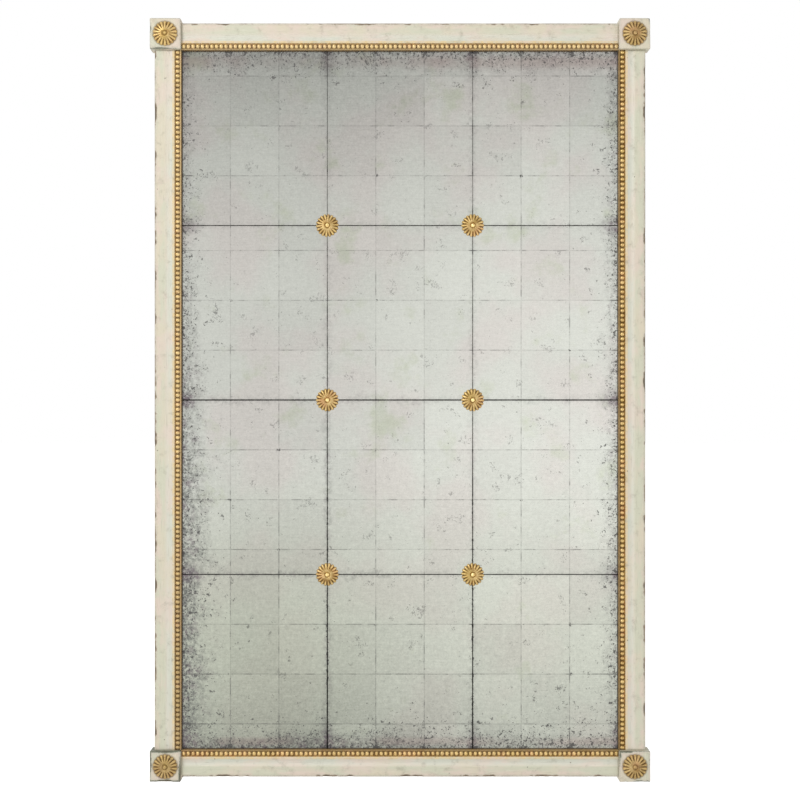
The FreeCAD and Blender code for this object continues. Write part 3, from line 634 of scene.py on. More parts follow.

# Panes. Twelve panes of thin old-looking glass in four rows, backed with lapped leaves of silver that
# have been aged with acid: darker towards the top, the foot and the left, from smoky toning and a painted
# reflection of the room, and stained and peppered where damp would creep in from the edges.
pane_width = 2 * sight_right / 3
pane_height = half_sight_height / 2
leaf_width = pane_width / 3
leaf_height = 0.0937
lap_width = 0.0015
leaf_rows = 5.0
bright_rise = 0.02
edge_step = 0.005
edge_waves = 55
joint_closing = 0.00045
seam_width = 0.0008
blush_band = (0.004, 0.014, 0.018, 0.034)
corner_seam = 0.0001
cut_fade = (0.0003, -0.0002)
middle_closed = 0.15
level_closed = 0.5
wander_share = 0.35
seam_taken = 0.7
square_enough = 0.999
sight_height = 2 * half_sight_height
silver_cool = srgb(226, 228, 219)
silver_rosy = srgb(229, 225, 218)
silver_mossy = srgb(208, 214, 191)
veil_grey = srgb(138, 140, 134)
veil_violet = srgb(136, 122, 129)
veil_rose = srgb(196, 170, 162)
stain_black = srgb(36, 33, 33)
joint_black = srgb(34, 32, 31)


def silver_leaf():
    """Leaf silver seen through glass, each stain set by its place on the whole mirror."""
    material, tree, inputs, place = finish("antiqued_silver_leaf", metallic=1.0)
    axes = by_axis(tree, place)
    x = axes["X"]
    rise = maths(tree, "SUBTRACT", axes["Z"], mirror_middle)
    off_middle = maths(tree, "ABSOLUTE", rise)
    broad = cloud(tree, place, 6, 4, 0.55)
    clusters = cloud(tree, place, 34, 4, 0.62)
    mottle = cloud(tree, place, 120, 5, 0.7)
    grain = cloud(tree, place, 290, 4, 0.75)
    streaks = cloud(tree, stretched(tree, place, (40, 40, 380)), 1.0, 4, 0.6)

    # the broad tone, smoky toning and a painted reflection: brightest right of the middle, darker at top,
    # foot, left
    over = most(tree, maths(tree, "SUBTRACT", rise, bright_rise), 0.0)
    under = most(tree, maths(tree, "SUBTRACT", bright_rise, rise), 0.0)
    over = times(tree, maths(tree, "POWER", over, 2.2), 0.92)
    smoke_and_reflection = scaled(tree, maths(tree, "POWER", under, 1.6), 0.66, over)
    right_tone = fade(tree, rise, -0.1, -0.5, 0.1, 0.165)
    left_tone = fade(tree, rise, 0.55, -0.5, 0.235, 0.29)
    leftward = fade(tree, x, 0.26, -0.2, right_tone, left_tone)
    smoke_and_reflection = maths(tree, "ADD", smoke_and_reflection, leftward)
    for texture, weight in ((broad, 0.1), (mottle, 0.26), (grain, 0.3), (streaks, 0.14)):
        smoke_and_reflection = scaled(tree, maths(tree, "SUBTRACT", texture, 0.5), weight, smoke_and_reflection)
    colour = mixed(tree, fade(tree, broad, 0.42, 0.6), silver_cool, silver_rosy)
    moss = times(tree, fade(tree, rise, -0.05, -0.5), fade(tree, x, 0.1, -0.25, 0.4, 0.7))
    moss = most(tree, moss, fade(tree, cloud(tree, place, 14, 5, 0.6), 0.54, 0.72, 0, 0.7))
    colour = mixed(tree, moss, colour, silver_mossy)

    # leaves: laid from the middle joint outwards, each with its own shade and broken lines at its laps
    column = maths(tree, "DIVIDE", maths(tree, "ADD", x, sight_right), leaf_width)
    row = maths(tree, "DIVIDE", maths(tree, "MODULO", off_middle, pane_height), leaf_height)
    pane_row = maths(tree, "FLOOR", maths(tree, "DIVIDE", rise, pane_height))
    rows_done = times(tree, pane_row, leaf_rows)
    leaf = put(tree, "ShaderNodeCombineXYZ", {
        "X": maths(tree, "FLOOR", column),
        "Y": maths(tree, "ADD", maths(tree, "FLOOR", row), rows_done),
    })["Vector"]
    shade = put(tree, "ShaderNodeTexWhiteNoise", {"Vector": leaf})["Value"]
    smoke_and_reflection = scaled(tree, maths(tree, "SUBTRACT", shade, 0.5), 0.06, smoke_and_reflection)
    wander = scaled(tree, cloud(tree, place, 60, 5, 0.7), 0.0018, -0.0009)
    from_column = times(tree, maths(tree, "PINGPONG", column, 0.5), leaf_width)
    from_row = times(tree, maths(tree, "PINGPONG", row, 0.5), leaf_height)
    from_lap = maths(tree, "MINIMUM", from_column, from_row)
    from_lap = maths(tree, "ABSOLUTE", maths(tree, "ADD", from_lap, wander))
    lap = fade(tree, from_lap, lap_width, lap_width / 4)
    dashes = fade(tree, cloud(tree, place, 52, 4, 0.66), 0.46, 0.64, 0.26, 0.95)
    lap = times(tree, lap, dashes)

    # damp: how far tarnish has crept in from the frame and the joints, thickest at the lower left
    from_side = maths(tree, "SUBTRACT", sight_right, maths(tree, "ABSOLUTE", x))
    from_end = maths(tree, "SUBTRACT", half_sight_height, off_middle)
    left_reach = fade(tree, rise, 0.35, -0.35, 0.85, 1.5)
    edge_side = maths(tree, "DIVIDE", from_side, fade(tree, x, -0.1, 0.1, left_reach, 0.8))
    edge_end = maths(tree, "DIVIDE", from_end, fade(tree, rise, -0.1, 0.1, 0.8, 1.2))
    edge = maths(tree, "MINIMUM", edge_side, edge_end)
    damp = fade(tree, edge, scaled(tree, clusters, 0.1, -0.005), 0.0)
    joint_column = maths(tree, "PINGPONG", maths(tree, "ADD", x, sight_right), pane_width / 2)
    joint_row = maths(tree, "PINGPONG", maths(tree, "ADD", rise, 2 * pane_height), pane_height / 2)
    joint = maths(tree, "MINIMUM", joint_column, joint_row)
    seep = fade(tree, joint, scaled(tree, clusters, 0.05, -0.014), 0.0, 0, 0.5)
    joint_end = times(tree, fade(tree, joint_row, 0.026, 0.0), fade(tree, from_side, 0.05, 0.0))
    joint_end = times(tree, joint_end, fade(tree, from_end, 0.05, 0.2))
    joint_foot = times(tree, fade(tree, joint_column, 0.02, 0.0), fade(tree, from_end, 0.075, 0.0))
    joint_end = most(tree, joint_end, joint_foot)
    damp = most(tree, damp, seep, joint_end)
    tinged = most(tree, fade(tree, cloud(tree, place, 40, 4, 0.6), 0.48, 0.62), joint_end)
    veil = mixed(tree, tinged, veil_grey, veil_violet)
    strength = fade(tree, x, -0.1, 0.1, fade(tree, rise, 0.3, -0.25, 0.65, 1.8), 0.9)
    thick = times(tree, damp, fade(tree, mottle, 0.36, 0.64, 0.08, 0.55))
    thick = scaled(tree, thick, strength, times(tree, joint_end, mottle))
    colour = mixed(tree, thick, colour, veil)
    blush = times(tree, band(tree, edge_end, *blush_band), fade(tree, broad, 0.4, 0.56, 0.1, 0.4))
    colour = mixed(tree, blush, colour, veil_rose)

    # pepper: ragged black specks, thick near the frame, sparse in the open, and blots where laps cross
    speck_end = maths(tree, "DIVIDE", from_end, fade(tree, rise, -0.1, 0.1, 1.5, 1.3))
    speck_edge = maths(tree, "MINIMUM", edge_side, speck_end)
    gathered = fade(tree, speck_edge, scaled(tree, clusters, 0.42, -0.158), 0.0)
    foot = times(tree, fade(tree, from_column, 0.024, 0.0), fade(tree, from_end, 0.028, 0.0))
    gathered = most(tree, gathered, times(tree, foot, 1.7))
    drawn = times(tree, most(tree, seep, joint_end), 0.8)
    open_groups = fade(tree, clusters, 0.58, 0.7, 0, 0.6)
    gathered = most(tree, gathered, drawn, open_groups)
    level = scaled(tree, gathered, -0.13, 0.7)
    coarse = maths(tree, "SUBTRACT", cloud(tree, place, 170, 3, 0.65), level)
    fine = maths(tree, "SUBTRACT", cloud(tree, place, 330, 2, 0.6), level)
    flecks = maths(tree, "SUBTRACT", cloud(tree, place, 85, 4, 0.7), maths(tree, "ADD", level, 0.005))
    coarse = most(tree, coarse, flecks)
    specks = fade(tree, most(tree, coarse, fine), 0.0, 0.035)
    specks = times(tree, specks, fade(tree, speck_edge, 0.12, 0.015, 0.45, 0.88))
    crossing = times(tree, fade(tree, from_column, 0.012, 0.0), fade(tree, from_row, 0.007, 0.0))
    crossing = times(tree, crossing, fade(tree, clusters, 0.5, 0.62, 0, 0.7))
    ragged = scaled(tree, grain, 0.7, times(tree, mottle, 0.5))
    blotted = most(tree, times(tree, foot, 0.5), crossing)
    blot = scaled(tree, blotted, 0.42, ragged)
    dark = most(tree, specks, fade(tree, blot, 0.78, 0.92))
    stained_lap = times(tree, lap, fade(tree, damp, 0.0, 0.5, 0.6, 0.95))
    dark = most(tree, dark, stained_lap)

    # the smoked and reflected colour, then what is stained black, then the cut edges at the joints and a
    # painted shadow of the side strips
    colour = mixed(tree, smoke_and_reflection, colour, (0, 0, 0, 1))
    colour = mixed(tree, times(tree, dark, 0.93), colour, stain_black)
    nibbles = cloud(tree, place, 130, 4, 0.7)
    least_bite = fade(tree, off_middle, 0.02, 0.05, 0.0006, 0.0002)
    bite_level = scaled(tree, nibbles, 0.0012, least_bite)
    eaten = fade(tree, rise, 0.3, -0.6, 0.0, 0.003)
    bite_upright = times(tree, fade(tree, nibbles, 0.46, 0.66), eaten)
    beyond_level = maths(tree, "SUBTRACT", joint_row, bite_level)
    beyond_upright = maths(tree, "SUBTRACT", joint_column, bite_upright)
    cut_level = fade(tree, beyond_level, *cut_fade, 0, 0.9)
    cut_upright = fade(tree, beyond_upright, *cut_fade, 0, 0.85)
    # a dark line on the glass along the side strips: grime at the edge and the strips' painted shadow
    strip_shadow_side = fade(tree, from_side, 0.0026, 0.0012, 0, 0.7)
    cut = most(tree, cut_level, cut_upright, strip_shadow_side)
    colour = mixed(tree, cut, colour, joint_black)
    tree.links.new(colour, inputs["Base Color"])
    tarnish = most(tree, dark, cut)
    tree.links.new(scaled(tree, tarnish, -0.8, 1.0), inputs["Metallic"])
    sheen = scaled(tree, mottle, 0.16, 0.08)
    tree.links.new(scaled(tree, tarnish, 0.3, sheen), inputs["Roughness"])
    inputs["Coat Weight"].default_value = 0.6
    inputs["Coat Roughness"].default_value = 0.04
    bumped(tree, inputs, cloud(tree, place, 9, 2, 0.5), 0.0008, 0.15)
    return material


def seamed(place, inward, rise):
    """How far a pane's edge comes out into its joint, and how wide its front arris is ground there."""
    wander = noise.noise(Vector((place.x, 0, place.y)) * edge_waves)
    in_sight = abs(place.x) < sight_right and abs(rise) < half_sight_height
    straight = max(abs(inward.x), abs(inward.y)) > square_enough
    if not straight:
        return 0.0, corner_seam
    if not in_sight:
        return 0.0, seam_width
    if abs(inward.x) > abs(inward.y):
        closed = min(1.0, max(0.0, 0.5 + rise / sight_height))
    else:
        closed = middle_closed if abs(rise) < pane_height / 2 else level_closed
    closed = min(1.0, max(0.0, closed + wander_share * wander))
    return joint_closing * closed, seam_width * (1 - seam_taken * closed)


def hand_cut_pane(node, material):
    """A pane cut and seamed by hand: its edges wander, and its upright joints close towards the top."""
    low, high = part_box(node)
    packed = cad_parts[node]
    places = [packed.matrix_world @ vertex.co for vertex in packed.data.vertices]
    back = {(round(place.x, 5), round(place.z, 5)) for place in places if place.y > high.y - face_slack}
    middle = (low + high) / 2
    corners = sorted(back, key=lambda place: math.atan2(place[1] - middle.z, place[0] - middle.x))
    outline = []
    for first, second in zip(corners, corners[1:] + corners[:1]):
        span = Vector(second) - Vector(first)
        steps = max(1, round(span.length / edge_step))
        outline += [Vector(first) + span * step / steps for step in range(steps)]
    rings = ([], [], [])
    for number, place in enumerate(outline):
        ahead = outline[(number + 1) % len(outline)] - outline[number - 1]
        inward = Vector((-ahead.y, ahead.x)).normalized()
        growth, arris = seamed(place, inward, place.y - mirror_middle)
        edge = place - inward * growth
        front = edge + inward * arris
        rings[0].append((front.x, low.y, front.y))
        rings[1].append((edge.x, low.y + arris, edge.y))
        rings[2].append((edge.x, high.y, edge.y))
    count = len(outline)
    middles = [(middle.x, low.y, middle.z), (middle.x, high.y, middle.z)]
    faces = []
    for point in range(count):
        after = (point + 1) % count
        faces.append((3 * count, point, after))
        faces.append((3 * count + 1, 2 * count + after, 2 * count + point))
        for ring in (0, count):
            faces.append((ring + after, ring + point, ring + count + point, ring + count + after))
    mesh = bpy.data.meshes.new(node)
    mesh.from_pydata(rings[0] + rings[1] + rings[2] + middles, [], faces)
    pane = linked(f"antiqued_{node}", mesh)
    mesh.materials.append(material)
    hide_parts(node)
    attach(pane, "mirror")


leaf = silver_leaf()
for node in [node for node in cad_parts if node.startswith("pane_row")]:
    hand_cut_pane(node, leaf)

# Gilding, for the bead strips and rosettes. Gold leaf over red-brown bole, burnished with a painted
# highlight on the high places, rubbed through here and there, and umber-toned in the hollows with painted
# shade there.
gold_deep = srgb(160, 125, 70)
gold_light = srgb(214, 186, 126)
gold_rosy = srgb(208, 156, 112)
gold_olive = srgb(182, 154, 84)
gold_painted_light = srgb(236, 216, 174)
gold_painted_highlight = srgb(240, 208, 136)
bole_red = srgb(140, 92, 64)
umber_dark = srgb(102, 76, 40)


def gilt(name, shade, glaze, pale=0.0, foot=0.0):
    """Gold leaf: shade darkens its hollows, glaze leaves umber, pale adds painted light, foot darkens it
    below.
    """
    material, tree, inputs, place = finish(name)
    depth = put(tree, "ShaderNodeAttribute", {}, attribute_name="hollow")["Fac"]
    patches = cloud(tree, place, 70, 5, 0.62)
    scuffs = cloud(tree, place, 520, 4, 0.7)
    wash = cloud(tree, place, 160, 4, 0.65)
    colour = mixed(tree, fade(tree, patches, 0.36, 0.64), gold_deep, gold_light)
    tints = cloud(tree, place, 30, 4, 0.6)
    colour = mixed(tree, fade(tree, tints, 0.52, 0.66, 0, 0.45), colour, gold_rosy)
    colour = mixed(tree, fade(tree, tints, 0.48, 0.34, 0, 0.6), colour, gold_olive)
    # painted light: the strips given pale, the left and top ones, come out lighter
    colour = mixed(tree, fade(tree, wash, 0.4, 0.6, 0.6 * pale, pale), colour, gold_painted_light)
    # a painted highlight on the petals' ridges and the beads' crowns
    colour = mixed(tree, fade(tree, depth, 0.18, 0.02, 0, 0.45), colour, gold_painted_highlight)
    worn = fade(tree, scaled(tree, scuffs, 0.5, patches), 0.84, 0.96, 0, 0.6)
    colour = mixed(tree, worn, colour, bole_red)
    washed = fade(tree, wash, 0.46, 0.72, glaze, 1.5 * glaze + 0.3)
    if foot:
        below = fade(tree, by_axis(tree, place)["Z"], mirror_middle, sight_bottom, 0, foot)
        washed = maths(tree, "ADD", washed, below)
    colour = mixed(tree, washed, colour, umber_dark)
    uneven = scaled(tree, scuffs, 0.35, scaled(tree, patches, 0.7, -0.35))
    # umber in the hollows, which also serves as painted shade there
    umber_and_shade = fade(tree, maths(tree, "ADD", uneven, depth), 0.5, 1.1, 0, shade)
    colour = mixed(tree, umber_and_shade, colour, umber_dark)
    tree.links.new(colour, inputs["Base Color"])
    bare = most(tree, umber_and_shade, worn, washed)
    tree.links.new(scaled(tree, bare, -0.5, 0.6), inputs["Metallic"])
    tree.links.new(scaled(tree, bare, 0.3, 0.34), inputs["Roughness"])
    bumped(tree, inputs, scuffs, 0.0003, 0.4)
    return material


def nodes_tree(name, sockets):
    """A new geometry tree with named inputs: the tree, its input sockets and each one's identifier."""
    tree = bpy.data.node_groups.new(name, "GeometryNodeTree")
    tree.interface.new_socket(name="Geometry", in_out="OUTPUT", socket_type="NodeSocketGeometry")
    tree.interface.new_socket(name="Geometry", in_out="INPUT", socket_type="NodeSocketGeometry")
    keys = {}
    for socket, kind in sockets.items():
        made = tree.interface.new_socket(name=socket, in_out="INPUT", socket_type=f"NodeSocket{kind}")
        keys[socket] = made.identifier
    given = put(tree, "NodeGroupInput", {})
    return tree, given, keys


def close_tree(tree, geometry, material):
    """End a tree: make its instances real and give them their finish."""
    whole = put(tree, "GeometryNodeRealizeInstances", {"Geometry": geometry})["Geometry"]
    done = put(tree, "GeometryNodeSetMaterial", {"Geometry": whole, "Material": material})["Geometry"]
    put(tree, "NodeGroupOutput", {"Geometry": done})


def grown(piece, tree, keys, values):
    """Run a tree on a piece and keep what it makes as the piece's plain mesh."""
    modifier = piece.modifiers.new(tree.name, "NODES")
    modifier.node_group = tree
    for socket, value in values.items():
        modifier[keys[socket]] = value
    graph = bpy.context.evaluated_depsgraph_get()
    mesh = bpy.data.meshes.new_from_object(piece.evaluated_get(graph), depsgraph=graph)
    piece.modifiers.remove(modifier)
    mesh.name = piece.name
    piece.data = mesh
    return piece


def turned(name, outline, sides):
    """A closed round shape about Y, facing the room, from the radii and heights between its poles."""
    places = [(0, -outline[0][1], 0)]
    faces = []
    for radius, height in outline[1:-1]:
        for side in range(sides):
            angle = 2 * math.pi * side / sides
            places.append((radius * math.cos(angle), -height, radius * math.sin(angle)))
    pole = len(places)
    places.append((0, -outline[-1][1], 0))
    for side in range(sides):
        after = (side + 1) % sides
        faces.append((0, 1 + side, 1 + after))
        faces.append((pole - sides + side, pole, pole - sides + after))
        for ring in range(len(outline) - 3):
            first = 1 + ring * sides
            faces.append((first + side, first + sides + side, first + sides + after, first + after))
    mesh = bpy.data.meshes.new(name)
    mesh.from_pydata(places, [], faces)
    return linked(name, mesh)


# Bead strips. Carved strips laid on the ledges from block to block: a row of round beads in a cove, and a
# fine rounded fillet along the glass, gilded over red bole.
bead_radius = 0.0046
bead_across = 1.09
bead_along = 1.04
bead_pitch = 0.0088
strip_base = 0.0015
bead_inset = 0.0052
cove_height = 0.004
cove_width = 0.0024
fillet_radius = 0.0015
fillet_seat = 0.003
strip_step = 0.02
cove_tones = [0.2, 0.2, 0.8, 0.8]
smallest_bead = 0.94
bead_sides = 12

# the random value node's sockets for plain numbers: three inputs and the output
random_least, random_most, random_seed, random_number = 2, 3, 8, 1

bead_tree, given, bead_keys = nodes_tree("row_of_beads", {
    "Bead": "Object",
    "Beads": "Int",
    "First Bead": "Vector",
    "Step": "Vector",
    "Turn": "Float",
    "Smallest": "Float",
    "Seed": "Int",
    "Finish": "Material",
})
row = put(bead_tree, "GeometryNodeMeshLine", {
    "Count": given["Beads"],
    "Start Location": given["First Bead"],
    "Offset": given["Step"],
}, mode="OFFSET")["Mesh"]
bead_size = put(bead_tree, "FunctionNodeRandomValue", {
    random_least: given["Smallest"],
    random_most: 1.0,
    random_seed: given["Seed"],
})[random_number]
bead_shape = put(bead_tree, "GeometryNodeObjectInfo", {"Object": given["Bead"]})["Geometry"]
bead_turn = put(bead_tree, "ShaderNodeCombineXYZ", {"Y": given["Turn"]})["Vector"]
beads = put(bead_tree, "GeometryNodeInstanceOnPoints", {
    "Points": row,
    "Instance": bead_shape,
    "Rotation": bead_turn,
    "Scale": bead_size,
})["Instances"]
joined = put(bead_tree, "GeometryNodeJoinGeometry", {"Geometry": given["Geometry"]})["Geometry"]
bead_tree.links.new(beads, joined.node.inputs["Geometry"])
close_tree(bead_tree, joined, given["Finish"])

bead_section = [(0, bead_radius)] + arc((0, 0), bead_radius, 72, 0, 4) + [(0, 0)]
bead_pattern = turned("bead_pattern", bead_section, bead_sides)
# each bead darkens towards where it meets its neighbours: umber and painted shade
hollows = []
for vertex in bead_pattern.data.vertices:
    hollows.append((vertex.co.z / bead_radius) ** 2)
    vertex.co.x *= bead_across
    vertex.co.z *= bead_along
bead_pattern.data.attributes.new("hollow", "FLOAT", "POINT").data.foreach_set("value", hollows)
bed = ledge_front - strip_base
fillet_start = rail_width - 2 * fillet_radius
strip_section = [
    (ledge_start, ledge_front),
    (ledge_start, ledge_front - cove_height),
    (ledge_start + cove_width, bed),
    (fillet_start - cove_width / 2, bed),
]
fillet_middle = (rail_width - fillet_radius, ledge_front - fillet_seat)
strip_section += arc(fillet_middle, fillet_radius, 180, 360, 8)
strip_section += [(rail_width, ledge_front)]
fillet_tones = [0.25, 0.15, 0.05, 0.0, 0.0, 0.05, 0.15, 0.3, 0.4]

# side, member, its painted light, the painted shade in its hollows and on its fillet, and how much darker
# it grows at its foot
strip_sides = (
    ("left", "left_stile", 0.35, 0.85, 0.5, 0.35),
    ("right", "right_stile", 0.0, 0.65, 0.95, 0.0),
    ("top", "top_rail", 0.5, 0.75, 0.6, 0.0),
    ("bottom", "bottom_rail", 0.1, 0.65, 0.75, 0.0),
)
for seed, (side, member, pale, shade, fillet_shade, foot) in enumerate(strip_sides):
    corner, across, along, length = member_runs[member]
    strip_name = f"gilt_bead_strip_{side}"
    strip = moulding(strip_name, strip_section, *member_runs[member], strip_step)
    # umber and painted shade in the bed of each strip, and along the fillet by the glass as set for each
    # side
    tones = cove_tones + [fillet_shade + tone for tone in fillet_tones] + [1.0]
    tones *= len(strip.data.vertices) // len(tones)
    strip.data.attributes.new("hollow", "FLOAT", "POINT").data.foreach_set("value", tones)
    beads = round(length / bead_pitch)
    pitch = length / beads
    first = corner + across * (ledge_start + bead_inset) + along * pitch / 2
    first.y = bed
    grown(strip, bead_tree, bead_keys, {
        "Bead": bead_pattern,
        "Beads": beads,
        "First Bead": first,
        "Step": along * pitch,
        "Turn": 0.0 if member.endswith("stile") else math.pi / 2,
        "Smallest": smallest_bead,
        "Seed": seed,
        "Finish": gilt(f"gilt_beads_{side}", shade, 0.0, pale, foot),
    })
    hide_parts(f"bead_strip_{side}")
    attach(strip, "mirror")
bpy.data.objects.remove(bead_pattern)

# Rosettes. Carved limewood daisies of eighteen petals, gilded: six cover the crossings of the pane
# joints, and four with a button in the middle are pegged to the corner blocks.
petals = 18
rosette_rim = 0.0025
rosette_crown = 0.007
seat_radius = 0.0056
seat_floor = rosette_crown - 0.0016
button_radius = 0.004
shank_bore = 0.0021
pane_cleft = 0.0026
corner_cleft = 0.0025
petal_notch = 0.0024
plain_tone = 0.2
tone_run = 0.45
dome_power = 1.7
cleft_start = 0.15
cleft_run = 0.5
tip_start = 0.82
tip_drop = 0.0011
thinnest = 0.0004
notch_power = 2.6
pane_tone_start = 0.34
pane_narrow = 1.9
pane_carving = 0.0005
corner_tone_start = 0.12
corner_narrow = 2.7
corner_carving = 0.0012
gouge_waves = 160.0
carved_above = 0.0008
seam_merge = 0.00002
petal_columns = 12
petal_rings = 20


def petal_height(share, aside, cleft_depth, narrow):
    """How high a petal stands, by shares of its length out from the seat and of its width aside."""
    dome = rosette_rim + (rosette_crown - rosette_rim) * (1 - share ** dome_power)
    spread = min(1.0, max(0.0, (share - cleft_start) / cleft_run))
    cleft = cleft_depth * spread * spread * (3 - 2 * spread) * abs(aside) ** (narrow + 0.7)
    tip = max(0.0, (share - tip_start) / (1 - tip_start))
    return max(thinnest, dome - cleft - tip_drop * tip * tip)


def petal(name, radius, middle, cleft_depth, tone_start, narrow):
    """A petal and its slice of the middle, facing the room. Its clefts are dark from tone_start out."""
    places = []
    hollows = []
    for column in range(petal_columns + 1):
        aside = 2 * column / petal_columns - 1
        angle = aside * math.pi / petals
        tip = radius - petal_notch * abs(aside) ** notch_power
        profile = list(middle)
        for ring in range(petal_rings + 1):
            share = ring / petal_rings
            out = seat_radius + (tip - seat_radius) * share
            spread = min(1.0, max(0.0, (share - tone_start) / tone_run))
            hollow = max(plain_tone * (1 - spread), spread * abs(aside) ** narrow)
            profile.append((out, petal_height(share, aside, cleft_depth, narrow), hollow))
        profile.append((tip, 0, 1))
        profile.append((middle[0][0], 0, 1))
        for r, height, hollow in profile:
            places.append((r * math.sin(angle), -height, r * math.cos(angle)))
            hollows.append(hollow)
    count = len(profile)
    faces = []
    for column in range(petal_columns):
        for ring in range(count):
            first = column * count + ring
            second = column * count + (ring + 1) % count
            faces.append((first, second, second + count, first + count))
    mesh = bpy.data.meshes.new(name)
    mesh.from_pydata(places, [], faces)
    mesh.attributes.new("hollow", "FLOAT", "POINT").data.foreach_set("value", hollows)
    piece = bpy.data.objects.new(name, mesh)
    bpy.context.scene.collection.objects.link(piece)
    return piece


pane_gilt = gilt("gilt_pane_rosettes", 0.85, 0.02)
rosette_tree, given, rosette_keys = nodes_tree("ring_of_petals", {
    "Petal": "Object",
    "Petals": "Int",
    "Middle": "Vector",
    "Turn": "Float",
    "Carving": "Float",
    "Finish": "Material",
})
ring = put(rosette_tree, "GeometryNodePoints", {"Count": given["Petals"]})["Points"]
step = maths(rosette_tree, "DIVIDE", 2 * math.pi, given["Petals"])
index = put(rosette_tree, "GeometryNodeInputIndex", {})[0]
angle = scaled(rosette_tree, index, step, given["Turn"])
spin = put(rosette_tree, "ShaderNodeCombineXYZ", {"Y": angle})["Vector"]
petal_shape = put(rosette_tree, "GeometryNodeObjectInfo", {"Object": given["Petal"]})["Geometry"]
flower = put(rosette_tree, "GeometryNodeInstanceOnPoints", {
    "Points": ring,
    "Instance": petal_shape,
    "Rotation": spin,
})["Instances"]
flower = put(rosette_tree, "GeometryNodeRealizeInstances", {"Geometry": flower})["Geometry"]
merged = {"Geometry": flower, "Distance": seam_merge}
flower = put(rosette_tree, "GeometryNodeMergeByDistance", merged)["Geometry"]
placed = {"Geometry": flower, "Translation": given["Middle"]}
flower = put(rosette_tree, "GeometryNodeTransform", placed)["Geometry"]
gouge = put(rosette_tree, "ShaderNodeTexNoise", {"Scale": gouge_waves, "Detail": 2.0})[0]
gouge = times(rosette_tree, gouge, given["Carving"])
lowered = put(rosette_tree, "ShaderNodeCombineXYZ", {"Y": gouge})["Vector"]
seat_plane = by_axis(rosette_tree, given["Middle"])["Y"]
position = put(rosette_tree, "GeometryNodeInputPosition", {})["Position"]
height = maths(rosette_tree, "SUBTRACT", seat_plane, by_axis(rosette_tree, position)["Y"])
carved = {0: height, 1: carved_above}
raised = put(rosette_tree, "FunctionNodeCompare", carved, operation="GREATER_THAN")[0]
flower = put(rosette_tree, "GeometryNodeSetPosition", {
    "Geometry": flower,
    "Selection": raised,
    "Offset": lowered,
})["Geometry"]
flower = put(rosette_tree, "GeometryNodeSetShadeSmooth", {"Geometry": flower})["Geometry"]
close_tree(rosette_tree, flower, given["Finish"])


def carve(node, pattern, turn, carving, material):
    low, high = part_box(node)
    rosette = bpy.data.objects.new(f"gilt_{node}", bpy.data.meshes.new(node))
    bpy.context.scene.collection.objects.link(rosette)
    grown(rosette, rosette_tree, rosette_keys, {
        "Petal": pattern,
        "Petals": petals,
        "Middle": Vector(((low.x + high.x) / 2, high.y, (low.z + high.z) / 2)),
        "Turn": turn,
        "Carving": carving,
        "Finish": material,
    })
    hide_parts(node)
    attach(rosette, "mirror")


seat_profile = [(shank_bore, seat_floor, 0.2), (seat_radius - 0.0006, seat_floor, 0.25)]
pane_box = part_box("pane_rosette_1_1")
pane_radius = (pane_box[1].x - pane_box[0].x) / 2
pane_petal = petal("pane_petal", pane_radius, seat_profile, pane_cleft, pane_tone_start, pane_narrow)
for row_number in (1, 2, 3):
    for column_number in (1, 2):
        turn = 0.4 * row_number + 1.1 * column_number
        node = f"pane_rosette_{row_number}_{column_number}"
        carve(node, pane_petal, turn, pane_carving, pane_gilt)
bpy.data.objects.remove(pane_petal)
button_profile = [(r, seat_floor + y, 0.1) for r, y in arc((0, 0), button_radius, 90, 0, 8)]
button_profile += [(button_radius + 0.0002, seat_floor, 0.5), (seat_radius - 0.0006, seat_floor, 0.5)]
corner_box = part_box("corner_rosette_top_left")
corner_radius = (corner_box[1].x - corner_box[0].x) / 2
corner_carve = (button_profile, corner_cleft, corner_tone_start, corner_narrow)
corner_petal = petal("corner_petal", corner_radius, *corner_carve)

# how dark each one's hollows are, and how much umber is left on it
corner_tones = {
    "top_left": (0.65, 0.04),
    "top_right": (0.95, 0.26),
    "bottom_left": (0.95, 0.3),
    "bottom_right": (1.0, 0.25),
}
for turn, (corner_name, (shade, glaze)) in enumerate(corner_tones.items()):
    corner_gilt = gilt(f"gilt_corner_{corner_name}", shade, glaze)
    carve(f"corner_rosette_{corner_name}", corner_petal, 0.7 * turn, corner_carving, corner_gilt)
bpy.data.objects.remove(corner_petal)

# Rosette screws. Domed brass screws through the pane rosettes into the plywood, their heads rubbed
# bright, each sitting in a round seat.
screw_gold = srgb(250, 226, 160)
screw_dull = srgb(206, 168, 104)
head_radius = 0.0044
shank_radius = 0.002


def rubbed_brass():
    material, tree, inputs, place = finish("rubbed_brass", metallic=0.85)
    tone = cloud(tree, place, 190, 5, 0.65)
    colour = mixed(tree, fade(tree, tone, 0.42, 0.7), screw_gold, screw_dull)
    tree.links.new(colour, inputs["Base Color"])
    tree.links.new(fade(tree, tone, 0.3, 0.7, 0.2, 0.42), inputs["Roughness"])
    bumped(tree, inputs, tone, 0.0002, 0.3)
    return material


def screw_tree(name, material):
    """Screws set at the points of a mesh, each at a scale and with its own turn of the driver."""
    tree, given, keys = nodes_tree(name, {"Screw": "Object", "Size": "Float", "Seed": "Int"})
    shape = put(tree, "GeometryNodeObjectInfo", {"Object": given["Screw"]})["Geometry"]
    turn = put(tree, "FunctionNodeRandomValue", {
        random_least: 0.0,
        random_most: 2 * math.pi,
        random_seed: given["Seed"],
    })[random_number]
    spin = put(tree, "ShaderNodeCombineXYZ", {"Y": turn})["Vector"]
    screws = put(tree, "GeometryNodeInstanceOnPoints", {
        "Points": given["Geometry"],
        "Instance": shape,
        "Rotation": spin,
        "Scale": given["Size"],
    })["Instances"]
    close_tree(tree, screws, material)
    return tree, keys


def set_out(name, places):
    """A mesh of bare points, for a tree to put things on."""
    mesh = bpy.data.meshes.new(name)
    mesh.from_pydata(places, [], [])
    piece = bpy.data.objects.new(name, mesh)
    bpy.context.scene.collection.objects.link(piece)
    return piece


